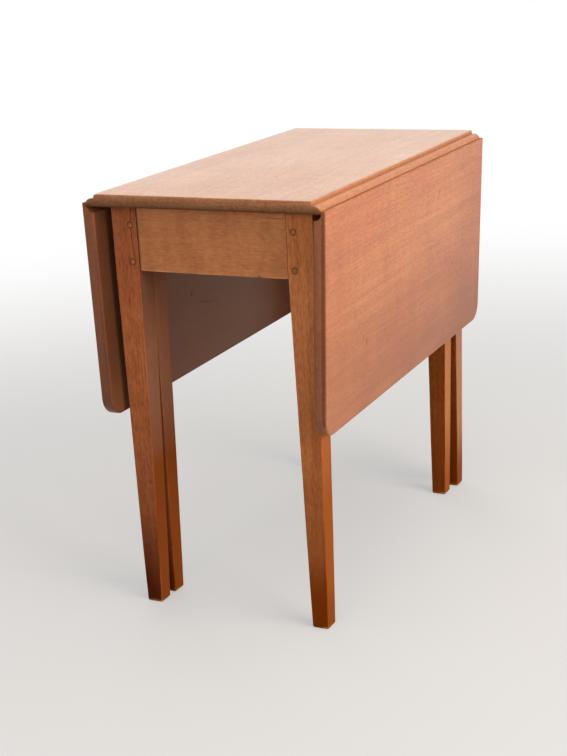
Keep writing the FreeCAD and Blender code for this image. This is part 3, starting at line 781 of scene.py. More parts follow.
FADED_TOP = Timber(
    "top_mahogany", pale=(203, 140, 85), dark=(164, 100, 57), tint=(187, 125, 79), pore=(106, 58, 38),
    worn=(206, 146, 102), grime_and_shade=(62, 34, 22), ring_pitch=5.2, ring_depth=75.0, ring=0.06, streak=0.28,
    fibre=0.30, fleck=0.90, mottle=0.20, pores=0.60, patina=0.65, gloss=0.5, roughness=0.34, coat=0.3,
    end_shade=(0.50, 0.42, 0.37), sheen_tint=(255, 246, 232))
JOINT_EDGE = replace(FADED_TOP, pale=(200, 130, 84), dark=(170, 104, 64), tint=(192, 122, 80), gloss=0.3,
                     roughness=0.42, coat=0.1, sheen_tint=(255, 232, 206))
TOP_END = replace(FADED_TOP, gloss=0.12, roughness=0.6, coat=0.0, end_shade=(0.74, 0.81, 1.14),
                  sheen_tint=(255, 215, 190))
TOP_UNDERSIDE = replace(FADED_TOP, gloss=0.25, roughness=0.62, coat=0.0, sheen_tint=(255, 220, 180))
LEAF_POLISH = Timber(
    "leaf_mahogany", pale=(213, 130, 72), dark=(172, 97, 48), tint=(193, 111, 69), pore=(112, 56, 30),
    worn=(150, 88, 50), grime_and_shade=(58, 30, 18), under=(96, 48, 26), ring_pitch=6.0,
    ring_depth=90.0, ring=0.08, streak=0.45, fibre=0.36, fleck=0.70, mottle=0.22, pores=0.6, patina=0.75,
    gloss=0.42, roughness=0.40, coat=0.18, end_shade=(0.66, 0.65, 0.76), sheen_tint=(255, 240, 222),
    floor_shades=(FloorShade((128, 68, 40), 0.76, 1.35),))
LEAF_NOSE = replace(LEAF_POLISH, pale=(208, 138, 96), dark=(174, 108, 72), tint=(192, 122, 84), gloss=0.1,
                    roughness=0.6, coat=0.0)
LEAF_UNDERSIDE = replace(LEAF_POLISH, under=(137, 86, 55), gloss=0.38, roughness=0.46, coat=0.0,
                         sheen_tint=(255, 230, 205))
RED_LEG = Timber(
    "leg_mahogany", pale=(186, 114, 72), dark=(140, 75, 43), tint=(146, 77, 49), pore=(84, 38, 18),
    worn=(196, 124, 66), grime_and_shade=(52, 24, 12), ring_pitch=3.2, ring_depth=40.0, ring=0.08, streak=0.50,
    fibre=0.40, fleck=0.80, mottle=0.20, pores=0.65, gloss=0.06, roughness=0.46, coat=0.0,
    floor_shades=(FloorShade((104, 48, 27), 0.54, 0.85, Facing.SHADED), FloorShade((73, 24, 7), 0.20, 1.3, Facing.SHADED),
           FloorShade((132, 60, 0), 0.40, 3.6, Facing.SUNNY)),
    sheen_tint=(255, 196, 130), x_side_light_and_shade=(146, 98, 72), x_side_light_and_shade_share=0.85)
BACK_LEG = replace(
    RED_LEG,
    floor_shades=(FloorShade((104, 48, 27), 0.54, 0.85, Facing.SHADED), FloorShade((90, 34, 12), 0.14, 1.0, Facing.SHADED),
           FloorShade((132, 60, 0), 0.40, 3.6, Facing.SUNNY)))
AMBER_LEG = replace(
    RED_LEG, pale=(216, 142, 92), dark=(172, 100, 58), tint=(188, 112, 66), x_side_light_and_shade=(196, 122, 56),
    x_side_light_and_shade_share=0.5,
    floor_shades=(FloorShade((108, 43, 0), 0.86, 0.9, Facing.SHADED), FloorShade((110, 46, 2), 0.30, 1.0, Facing.SHADED),
           FloorShade((138, 57, 0), 0.86, 0.9, Facing.SUNNY), FloorShade((148, 73, 0), 0.34, 4.5, Facing.SUNNY),
           FloorShade((134, 62, 0), 0.09, 1.5, Facing.SUNNY)))
# A darker copy of the red leg: painted shade for the swing leg under the right leaf, and painted light on its
# faces turned to +X.
SHADED_RIGHT_LEG = replace(
    RED_LEG, pale=(140, 76, 32), dark=(108, 50, 16), tint=(114, 54, 20), x_side_light_and_shade=(192, 122, 74),
    x_side_light_and_shade_share=0.95,
    floor_shades=(FloorShade((102, 42, 4), 0.20, 0.7, Facing.SHADED), FloorShade((150, 72, 0), 0.20, 1.1, Facing.SUNNY)))
# The same painted shade and light for the far right leg, with its own colours at the foot.
SHADED_FAR_RIGHT_LEG = replace(
    SHADED_RIGHT_LEG, x_side_light_and_shade=(180, 123, 88),
    floor_shades=(FloorShade((102, 42, 4), 0.27, 1.0, Facing.SHADED), FloorShade((130, 56, 0), 0.15, 1.4, Facing.SUNNY)))
APRON_POLISH = Timber(
    "apron_mahogany", pale=(192, 126, 80), dark=(154, 92, 56), tint=(178, 110, 68), pore=(108, 58, 32),
    worn=(206, 142, 92), grime_and_shade=(48, 24, 14), ring_pitch=4.0, ring_depth=28.0, ring=0.05, streak=0.15,
    fibre=0.15, fleck=0.65, mottle=0.42, pores=0.55, gloss=0.25, roughness=0.44, coat=0.08,
    sheen_tint=(255, 226, 190))
RAIL_WOOD = Timber(
    "rail_beech", pale=(166, 124, 84), dark=(124, 86, 54), tint=(112, 80, 54), pore=(82, 56, 36),
    worn=(178, 140, 100), grime_and_shade=(60, 42, 28), ring_pitch=2.8, ring=0.2, streak=0.5, mottle=0.15,
    fibre=0.5, gloss=0.2, roughness=0.72, coat=0.0, patina=0.6)
PEG_WOOD = Timber(
    "peg_wood", pale=(184, 118, 70), dark=(150, 90, 50), tint=(156, 90, 50), pore=(78, 40, 22),
    worn=(186, 120, 72), grime_and_shade=(60, 28, 16), ring_pitch=1.6, ring_depth=3.0, ring=0.2, streak=0.5,
    gloss=0.2, roughness=0.5, coat=0.0, end_shade=(0.95, 0.92, 0.9))
HINGE_IRON = Metal("iron_hinge", (92, 86, 80), (98, 58, 36), 0.6, 0.5)
SCREW_STEEL = Metal("steel_screw", (146, 138, 126), (104, 70, 46), 0.4, 0.42)


def dress(piece: bpy.types.Object, material: bpy.types.Material) -> None:
    """Give every material slot of a piece one material.

    Args:
        piece: The piece.
        material: Its material.
    """
    if not piece.material_slots:
        piece.data.materials.append(material)
    for slot in piece.material_slots:
        slot.material = material


def line_underside(piece: bpy.types.Object, material: bpy.types.Material) -> None:
    """Give a board's unpolished faces, whose points are all underneath, a second material.

    Args:
        piece: The board, whose points say how far each is underneath.
        material: The second material.
    """
    mesh = piece.data
    under = np.empty(len(mesh.vertices), np.float32)
    mesh.attributes["under"].data.foreach_get("value", under)
    corners = np.empty(len(mesh.loops), np.int32)
    mesh.loops.foreach_get("vertex_index", corners)
    starts = np.empty(len(mesh.polygons), np.int32)
    mesh.polygons.foreach_get("loop_start", starts)
    least = np.minimum.reduceat(under[corners], starts)
    mesh.materials.append(material)
    mesh.polygons.foreach_set("material_index", (least > 0.5).astype(np.int32))


def dress_where(piece: bpy.types.Object, material: bpy.types.Material,
                chosen: Callable[[np.ndarray, np.ndarray], np.ndarray]) -> None:
    """Give some faces of a piece a material of their own.

    Args:
        piece: The piece.
        material: The material.
        chosen: From the faces' centres and normals, tells which faces take it.
    """
    mesh = piece.data
    count = len(mesh.polygons)
    centres, normals = np.empty(3 * count, np.float32), np.empty(3 * count, np.float32)
    mesh.polygons.foreach_get("center", centres)
    mesh.polygons.foreach_get("normal", normals)
    slots = np.empty(count, np.int32)
    mesh.polygons.foreach_get("material_index", slots)
    mesh.materials.append(material)
    picked = chosen(centres.reshape(-1, 3), normals.reshape(-1, 3))
    mesh.polygons.foreach_set("material_index", np.where(picked, len(mesh.materials) - 1, slots))


def seat(piece: bpy.types.Object, body: str, slot: str, *nodes: str) -> None:
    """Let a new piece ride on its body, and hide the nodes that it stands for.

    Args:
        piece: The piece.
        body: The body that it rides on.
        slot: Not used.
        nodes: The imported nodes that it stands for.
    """
    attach(piece, body)
    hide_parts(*nodes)
    log.info("%s: %d faces on %s", piece.name, len(piece.data.polygons), body)


# ---- Fixed top -----------------------------------------------------------------------------------
@dataclass(kw_only=True)
class Board:
    """What the fixed top and the leaves share: their heights, their length and their hinges."""

    underside: float = 709.0
    top: float = 730.0
    half_length: float = 393.0
    upper_arris: float
    lower_arris: float = 4.0
    hinge_x: float = 195.8
    hinge_z: float = 711.5
    hinge_places: tuple[float, ...] = (-300.0, 0.0, 300.0)
    plate_half: float = 19.0
    plate_depth: float = 2.0
    plate_reach: float
    cut: Point

    def from_hinge(self, y: np.ndarray) -> np.ndarray:
        """Distance along the table to the middle of the nearest hinge."""
        return np.min(np.abs(y[..., None] - np.asarray(self.hinge_places)), -1)


@dataclass(kw_only=True)
class FixedTop(Board):
    """The fixed top: rounded ends, rule-joint edges, and hinge recesses in its underside."""

    upper_arris: float = 2.5
    plate_reach: float = 21.5
    cut: Point = (0.013, 0.0, 0.4)
    edge: float = 191.5
    ovolo: float = 11.5
    end_softening: float = 0.7
    softened_reach: float = 8.0
    barrel_room: float = 2.8
    clearance: float = 0.3
    dip: float = 0.125
    knock: float = 0.9
    knock_reach: float = 6.5
    arris_wear: float = 0.12
    low_dirt: float = 0.1
    upright_dirt: float = 0.08
    corner_dirt: float = 0.3
    end_dirt: float = 0.82

    @property
    def shoulder(self) -> float:
        """Height of the fillet's foot, where the quarter round ends."""
        return self.hinge_z + self.ovolo

    def half_section(self) -> np.ndarray:
        """Trace the edge of the section on the +X side, from the underside up to the flat of the top.

        It keeps to the circle of the quarter round below the axis height too, so that the leaf
        clears it, follows the quarter round about the hinge axis, steps in to the fillet, rises,
        and turns over the upper arris.

        Returns:
            Points of X and Z.
        """
        turn = np.linspace(0.0, math.pi / 2.0, 15)
        over = np.linspace(0.0, math.pi / 2.0, 8)
        below = np.array([self.underside, self.underside + 1.2])
        edge, shoulder = self.edge, self.shoulder
        return np.concatenate([
            np.stack([self.hinge_x + np.sqrt(self.ovolo**2 - (self.hinge_z - below) ** 2), below], 1),
            np.stack([self.hinge_x + self.ovolo * np.cos(turn), self.hinge_z + self.ovolo * np.sin(turn)], 1),
            [[edge + 3.0, shoulder], [edge + 1.6, shoulder], [edge + 0.35, shoulder],
             [edge, shoulder + 0.35], [edge, shoulder + 2.0], [edge, shoulder + 3.6]],
            np.stack([edge - self.upper_arris * (1.0 - np.cos(over)),
                      self.top - self.upper_arris * (1.0 - np.sin(over))], 1),
        ])

    def recess(self, x: np.ndarray, y: np.ndarray) -> np.ndarray:
        """Depth of the hinge recesses in the underside.

        A plate's pocket is flat, the barrel's room is a circle about the axis, and beyond it the
        leaf's plate has a flat pocket out to the edge.

        Args:
            x: Distance from the middle of the table.
            y: Place along the table.

        Returns:
            Depth above the underside.
        """
        off = self.from_hinge(y)
        inside, wide = off < self.plate_half, off < self.plate_half + self.clearance
        from_axis = x - self.hinge_x
        lift = self.hinge_z - self.underside
        barrel = lift + np.sqrt(np.clip(self.barrel_room**2 - from_axis**2, 0.0, None))
        under_plate = inside & (from_axis > -self.plate_reach) & (from_axis < -self.barrel_room)
        depth = np.where(under_plate, self.plate_depth, 0.0)
        depth = np.where(wide & (np.abs(from_axis) <= self.barrel_room), barrel, depth)
        return np.where(wide & (from_axis > self.barrel_room), self.plate_depth + self.clearance, depth)

    def columns(self) -> tuple[np.ndarray, np.ndarray]:
        """Lay out one ring: along the underside, up one edge, back over the top and down the other.

        Returns:
            X and Z of its points, before the ends are rounded and the recesses cut.
        """
        side = self.half_section()
        breaks = np.array([-self.plate_reach, -self.barrel_room, self.barrel_room]) + self.hinge_x
        barrel = self.hinge_x + self.barrel_room * np.cos(np.linspace(0.3, math.pi - 0.3, 7))
        under = stations(np.linspace(0.0, 168.0, 13), breaks - HAIR, breaks + HAIR, barrel,
                         [self.hinge_x + 7.5])
        under = np.concatenate([-under[:0:-1], under])
        over = stations(np.linspace(0.0, 176.0, 23), self.edge - self.upper_arris - np.array([2.0, 5.0]))
        over = np.concatenate([over[::-1], -over[1:]])
        x = np.concatenate([under, side[:, 0], over, -side[::-1, 0]])
        z = np.concatenate([np.full(len(under), self.underside), side[:, 1], np.full(len(over), self.top),
                            side[::-1, 1]])
        return x, z

    def places(self) -> np.ndarray:
        """Set the stations along the table, close at the ends and in pairs at the recesses' walls.

        Returns:
            Their Y, lowest first.
        """
        walls = [np.asarray(self.hinge_places) + sign * reach + nudge for sign in (-1, 1)
                 for reach in (self.plate_half, self.plate_half + self.clearance) for nudge in (-HAIR, HAIR)]
        near_end = np.concatenate([rounding_steps(self.lower_arris, 8), rounding_steps(self.end_softening, 4),
                                   [6.0, 9.0]])
        return stations(np.linspace(-380.0, 380.0, 96), self.half_length - near_end,
                        near_end - self.half_length, *walls)

    def age(self, x: np.ndarray, z: np.ndarray, from_end: np.ndarray) -> tuple[np.ndarray, np.ndarray]:
        """Soil the joint's hollows, with painted shade in the fillet's corner too, paint shade low on the
        ends, and wear the upper arrises.

        Each is a bell of the distance from its line, cut to the faces that it lies on.

        Args:
            x: X of the points.
            z: Z of the points.
            from_end: Their distance inwards from the nearer end.

        Returns:
            Dirt with painted shade, and wear.
        """
        out = np.abs(x)
        arris = bell(out - (self.edge - 0.8), 1.6) * (z > self.shoulder + 2.0)
        end = bell(from_end - 0.6, 1.3) * (z > self.top - 2.0)
        low_edge = np.clip((self.hinge_z + 4.0 - z) / 5.0, 0.0, 1.0) * (out > self.edge) * self.low_dirt
        upright = bell(out - self.edge, 0.5) * np.clip((self.top - 3.0 - z) / 4.0, 0.0, 1.0)
        upright *= self.upright_dirt * ((z > self.shoulder - 0.2) & (z < self.top - 1.2))
        # Dirt and painted shade in the corner at the fillet's foot.
        corner = self.corner_dirt * bell(out - self.edge - 0.6, 1.5) * (np.abs(z - self.shoulder) < 0.6)
        # Painted shade on the ends' lower part, where the rounding turns down.
        ends = bell(from_end, 5.0) * np.clip((self.top - 10.0 - z) / 11.0, 0.0, self.end_dirt)
        return np.maximum.reduce([low_edge, upright, corner, ends]), np.maximum(arris, end) * self.arris_wear

    def shell(self) -> Shell:
        """Carry the section along the table.

        At each station the section is raised in the recesses, cut off below and above by the two
        rounded ends, and drawn in a little at the very ends where handling has softened it. The
        flat dips by a slow unevenness, and one corner is knocked in by a bell of the distance.

        Returns:
            The closed surface.
        """
        column_x, column_z = self.columns()
        places = self.places()
        x = np.broadcast_to(column_x, (len(places), len(column_x))).copy()
        y = np.broadcast_to(places[:, None], x.shape)
        z = np.broadcast_to(column_z, x.shape)
        below = z < self.underside + 0.01
        recessed = np.maximum(z, self.underside + self.recess(np.abs(x), y))
        z = np.where(z < self.hinge_z - 0.01, recessed, z)
        from_end = self.half_length - np.abs(y)
        z = np.maximum(z, self.underside + rounding_drop(from_end, self.lower_arris))
        z = np.minimum(z, self.top - rounding_drop(from_end, self.upper_arris))
        soften = rounding_drop(from_end, self.end_softening) * (np.abs(x) > self.edge - self.softened_reach)
        x -= np.sign(x) * soften
        fade = np.clip((self.edge - 6.0 - np.abs(x)) / 30.0, 0.0, 1.0) * np.clip(from_end / 25.0, 0.0, 1.0)
        dip = self.dip * (unevenness(x, y, 11, 90.0, 260.0) - 1.0)
        z += np.where(column_z > self.top - 0.01, dip * fade, 0.0)
        to_corner = np.hypot(np.hypot(x + self.edge, y + self.half_length), z - self.top)
        knocked = self.knock * bell(to_corner, self.knock_reach)
        x += knocked
        z -= knocked * (z > self.hinge_z)
        dirt, wear = self.age(x, z, from_end)
        return Shell(np.stack([x, y, z], -1), dirt, wear, below * np.clip((from_end - 3.0) / 3.0, 0.0, 1.0))

    def build(self) -> None:
        """Build, dress and seat the fixed top."""
        piece = make_piece("fixed_top", [self.shell()])
        marks = (Mark((37.6, -187.2, 730.0), (3.2, 5.5, 2.0), depth=0.5),
                 Mark((-96.0, 142.0, 730.0), (1.4, 14.0, 1.5), (0.0, 0.0, 12.0), 0.3),
                 Mark((70.0, 210.0, 730.0), (1.2, 22.0, 1.5), (0.0, 0.0, -8.0), 0.25))
        dress(piece, FADED_TOP.material("fixed_top", Grain.TOP, self.cut, marks))
        line_underside(piece, TOP_UNDERSIDE.material("fixed_top_under", Grain.TOP, self.cut))
        dress_where(piece, TOP_END.material("top_end", Grain.TOP, self.cut),
                    lambda centres, normals: np.abs(normals[:, 1]) > 0.5)
        at_side = MM * (self.edge - 0.3)
        dress_where(piece, JOINT_EDGE.material("joint_edge", Grain.TOP, self.cut),
                    lambda centres, normals: (np.abs(centres[:, 0]) > at_side) & (normals[:, 2] > -0.5)
                    & (np.abs(normals[:, 1]) < 0.5))
        seat(piece, "frame", FADED_TOP.slot, "top_board")


# ---- Leaves --------------------------------------------------------------------------------------
@dataclass(kw_only=True)
class Leaf(Board):
    """A leaf, worked out raised on the +X side, then hung from its hinges and turned to its side."""

    side: str
    lean: float
    turn: float
    upper_arris: float = 3.5
    plate_reach: float = 42.0
    nose: float = 191.9
    reach: float = 361.0
    corner: float = 32.5
    cove: float = 11.6
    nose_arris: float = 1.2
    even_reach: float = 250.0
    dip: float = 0.45
    rim_wear: float = 0.35
    hinge_dirt: float = 0.08
    rim_dirt: float = 0.5
    chip: bool = False
    chip_depth: float = 1.6
    chip_reach: float = 3.2
    marks: tuple[Mark, ...] = ()

    def free_edge(self, y: np.ndarray) -> np.ndarray:
        """X of the free edge: straight, then round the corner circle near each end."""
        into = np.clip(np.abs(y) - (self.half_length - self.corner), 0.0, self.corner)
        return self.hinge_x + self.reach - self.corner + np.sqrt(self.corner**2 - into**2)

    def from_outline(self, x: np.ndarray, y: np.ndarray) -> np.ndarray:
        """Distance inwards from the outline of the raised leaf, seen from above, leaving out the nose.

        Near a round corner it is the corner radius less the distance to the corner's centre, and
        elsewhere it is the least distance to the two ends and the free edge.

        Args:
            x: Place across the table.
            y: Place along the table.

        Returns:
            The distance, 0 on the outline.
        """
        free = self.hinge_x + self.reach
        plain = np.minimum(free - x, self.half_length - np.abs(y))
        dx = x - (free - self.corner)
        dy = np.abs(y) - (self.half_length - self.corner)
        rounded = self.corner - np.hypot(dx, dy)
        return np.clip(np.where((dx > 0.0) & (dy > 0.0), rounded, plain), 0.0, None)

    def places(self) -> np.ndarray:
        """Set the stations along the leaf, close at the ends and corners and in pairs at the plates.

        Returns:
            Their Y, lowest first.
        """
        near_end = np.concatenate([rounding_steps(self.lower_arris, 8), [6.0, 9.0, 13.0]])
        round_y = self.half_length - self.corner * (1.0 - np.sin(np.linspace(0.0, math.pi / 2.0, 19)))
        walls = [np.asarray(self.hinge_places) + sign * self.plate_half + nudge
                 for sign in (-1, 1) for nudge in (-HAIR, HAIR)]
        return stations(np.linspace(-360.0, 360.0, 97), self.half_length - near_end,
                        near_end - self.half_length, round_y, -round_y, *walls)

    def across(self, fixed: np.ndarray, free: np.ndarray) -> np.ndarray:
        """Columns of X for every station, from the hinge side to the free edge.

        Args:
            fixed: The columns that are alike at every station.
            free: X of the free edge at each station, which the outer columns follow.

        Returns:
            X, stations by columns.
        """
        near_edge = np.concatenate([rounding_steps(self.lower_arris, 8), [6.0, 9.0, 14.0]])
        start = self.hinge_x + self.even_reach
        outer = start + (free - near_edge.max() - start) * np.linspace(0.0, 1.0, 12)[:-1]
        inner = np.broadcast_to(fixed, (len(free), len(fixed)))
        return np.concatenate([inner, outer, free - near_edge[::-1]], 1)

    def upper_face(self, y: np.ndarray, free: np.ndarray) -> tuple[np.ndarray, np.ndarray]:
        """Shape the upper face, which falls to the outline and, by a smaller arris, to the nose.

        Args:
            y: Y of the stations.
            free: X of the free edge at each.

        Returns:
            X and Z, stations by columns.
        """
        start = self.hinge_x + self.even_reach
        fixed = stations(self.nose + rounding_steps(self.nose_arris, 8),
                         self.nose + np.array([3.5, 5.0, 8.0]),
                         np.linspace(self.nose + 14.0, start - 8.0, 28))
        x = self.across(fixed, free)
        drop = np.maximum(rounding_drop(self.from_outline(x, y), self.upper_arris),
                          rounding_drop(x - self.nose, self.nose_arris))
        return x, self.top - drop

    def lower_face(self, y: np.ndarray, free: np.ndarray) -> tuple[np.ndarray, np.ndarray]:
        """Shape the lower face, which rises to the outline and holds the hinge plates' pockets.

        Args:
            y: Y of the stations.
            free: X of the free edge at each.

        Returns:
            X and Z, stations by columns.
        """
        start = self.hinge_x + self.even_reach
        cove_end, plate_end = self.hinge_x + self.cove, self.hinge_x + self.plate_reach
        fixed = stations([cove_end + HAIR, plate_end - HAIR, plate_end + HAIR],
                         np.linspace(cove_end + 4.0, plate_end - 4.0, 4),
                         np.linspace(plate_end + 6.0, start - 8.0, 20))
        x = self.across(fixed, free)
        pocket = np.where((self.from_hinge(y) < self.plate_half) & (x < plate_end), self.plate_depth, 0.0)
        rise = rounding_drop(self.from_outline(x, y), self.lower_arris)
        return x, self.underside + np.maximum(rise, pocket)

    def shell(self) -> Shell:
        """Carry the raised section along the leaf, and hang it.

        The upper and lower faces fall away towards the outline as a quarter round does, by the
        distance to the outline, and the hinge side is hollowed by the cove about the hinge axis,
        which runs out level over the top's shoulder. The upper face dips by a slow unevenness.

        Returns:
            The closed surface in its place.
        """
        y = self.places()[:, None]
        free = self.free_edge(y)
        upper_x, upper_z = self.upper_face(y, free)
        lower_x, lower_z = self.lower_face(y, free)
        cove_end = self.hinge_x + self.cove
        low_z = self.underside + rounding_drop(self.half_length - np.abs(y), self.lower_arris)
        arc = np.linspace(0.0, math.pi / 2.0, 17)
        cove_x = np.append(self.hinge_x + self.cove * np.cos(arc), self.nose)
        cove_z = np.append(self.hinge_z + self.cove * np.sin(arc), self.hinge_z + self.cove)
        x = np.concatenate([upper_x, free, lower_x[:, ::-1], np.full_like(y, cove_end),
                            np.broadcast_to(cove_x, (len(y), len(cove_x)))], 1)
        z = np.concatenate([upper_z, np.full_like(y, (self.underside + self.top) / 2.0), lower_z[:, ::-1],
                            np.minimum(low_z + HAIR, self.hinge_z - HAIR), np.maximum(cove_z, low_z)], 1)
        y = np.broadcast_to(y, x.shape)
        column = np.arange(x.shape[1])
        on_top = column < upper_x.shape[1]
        rim = self.from_outline(x, y)
        inwards = np.minimum(rim, np.clip(x - self.nose, 0.0, None) + 20.0 * ~on_top)
        dip = self.dip * (unevenness(y * 2.2, x * 0.5, 21 + len(self.side), 120.0, 330.0) - 1.0)
        z = z + np.where(on_top, dip * np.clip((inwards - 4.0) / 26.0, 0.0, 1.0), 0.0)
        wear = np.where(on_top, bell(inwards - 0.9, 1.6) * self.rim_wear, 0.0)
        at_hinge, at_rim = bell(x - self.hinge_x, 15.0), bell(rim - 1.8, 2.6)
        # Dirt by the hinge, and painted shade along the underside's rim.
        dirt = np.where(on_top, 0.0, np.maximum(self.hinge_dirt * at_hinge, self.rim_dirt * at_rim))
        if self.chip:
            to_corner = np.hypot(np.hypot(x - cove_end, y - self.half_length), z - self.hinge_z)
            knocked = bell(to_corner, self.chip_reach)
            x = x + self.chip_depth * knocked
            wear = np.maximum(wear, knocked)
            dirt = dirt * (1.0 - knocked)
        below = (column > upper_x.shape[1]) * np.clip((inwards - 1.0) / 3.0, 0.0, 1.0)
        return Shell(self.hung(np.stack([x, y, z], -1)), dirt, wear, below)

    def hung(self, points: np.ndarray) -> np.ndarray:
        """Turn raised points down about the hinge axis by 90 degrees and the lean, then to the side.

        Args:
            points: Points of the raised leaf.

        Returns:
            The points of the hanging leaf.
        """
        angle = math.radians(90.0 + self.lean)
        dx, dz = points[..., 0] - self.hinge_x, points[..., 2] - self.hinge_z
        out = points.copy()
        out[..., 0] = self.hinge_x + dx * math.cos(angle) + dz * math.sin(angle)
        out[..., 2] = self.hinge_z - dx * math.sin(angle) + dz * math.cos(angle)
        return turned_about_z(out, self.turn)

    def build(self) -> None:
        """Build, dress and seat the leaf."""
        piece = make_piece(f"hung_leaf_{self.side}", [self.shell()])
        dress(piece, LEAF_POLISH.material(piece.name, Grain.LEAF, self.cut, self.marks))
        under = LEAF_UNDERSIDE.material(f"{piece.name}_under", Grain.LEAF, self.cut, self.marks)
        line_underside(piece, under)
        dress_where(piece, LEAF_NOSE.material(f"{piece.name}_nose", Grain.LEAF, self.cut),
                    lambda centres, normals: (normals[:, 2] > 0.25) & (centres[:, 2] > MM * self.hinge_z))
        seat(piece, f"leaf_{self.side}", LEAF_POLISH.slot, f"leaf_{self.side}")


# ---- Legs ----------------------------------------------------------------------------------------
@dataclass(kw_only=True)
class Leg:
    """What all legs share: a square that tapers to a chamfered foot, with softened, worn arrises."""

    outer_x: float
    outer_y: float
    square: float
    foot_square: float
    outer_taper: float
    top: float
    foot_z: float = 0.0
    foot_chamfer: float = 2.0
    arris: float = 1.4
    least_arris: float = 0.9
    waver: float
    arris_wear: float = 0.4
    foot_wear: float = 0.8
    foot_dirt: float = 0.7
    seed: int
    finish: Timber = RED_LEG
    cut: Point = (0.0, 0.0, 0.0)

    @property
    def foot_heights(self) -> list[float]:
        """Heights of the closely set rings at the foot's chamfer, above the foot."""
        return [0.0, self.foot_chamfer, 2.8, 3.8, 5.0, 9.0]

    def near_arris(self) -> np.ndarray:
        """Shares of a face's straight part at which the first points beside an arris lie."""
        return np.array([0.8, 2.2, 5.0]) / (self.square - 2.0 * self.arris)

    def plain_side(self) -> np.ndarray:
        """Shares of a plain face's straight part at which its points lie."""
        near = self.near_arris()
        return stations(near, np.linspace(0.2, 0.8, 5), 1.0 - near, apart=0.001)

    def softened(self, z: np.ndarray, swell: float, foot: float) -> np.ndarray:
        """Radius of the arrises, which handling has softened unevenly, and more towards the foot.

        Args:
            z: Heights.
            swell: How far the radius varies, as a share of it.
            foot: What the foot adds to it.

        Returns:
            The radius at each height.
        """
        radius = self.arris * (1.0 + swell * unevenness(z, z * 0.0, self.seed, 40.0, 300.0))
        return np.clip(radius + foot * bell(z - self.foot_z, 45.0), self.least_arris, None)

    def dips(self, rings: np.ndarray) -> np.ndarray:
        """How far a plane has drawn the faces in, by a slow unevenness over the rings' points."""
        across = rings[..., 0] + rings[..., 1]
        return self.waver * (unevenness(rings[..., 2], across, self.seed + 40, 60.0, 260.0) - 1.0)

    def wear(self, at_arris: np.ndarray, x: np.ndarray, height: np.ndarray) -> np.ndarray:
        """Wear the arrises in patches, and the rim of the foot all round.

        Args:
            at_arris: How near the points are to an arris, 1 on it.
            x: X of the points.
            height: Their height.

        Returns:
            The wear.
        """
        patches = 0.5 + 0.5 * unevenness(height, x, self.seed + 9, 30.0, 120.0)
        rim = bell(height - self.foot_z - self.foot_chamfer - 0.6, 1.4)
        return at_arris * patches * self.arris_wear + self.foot_wear * rim


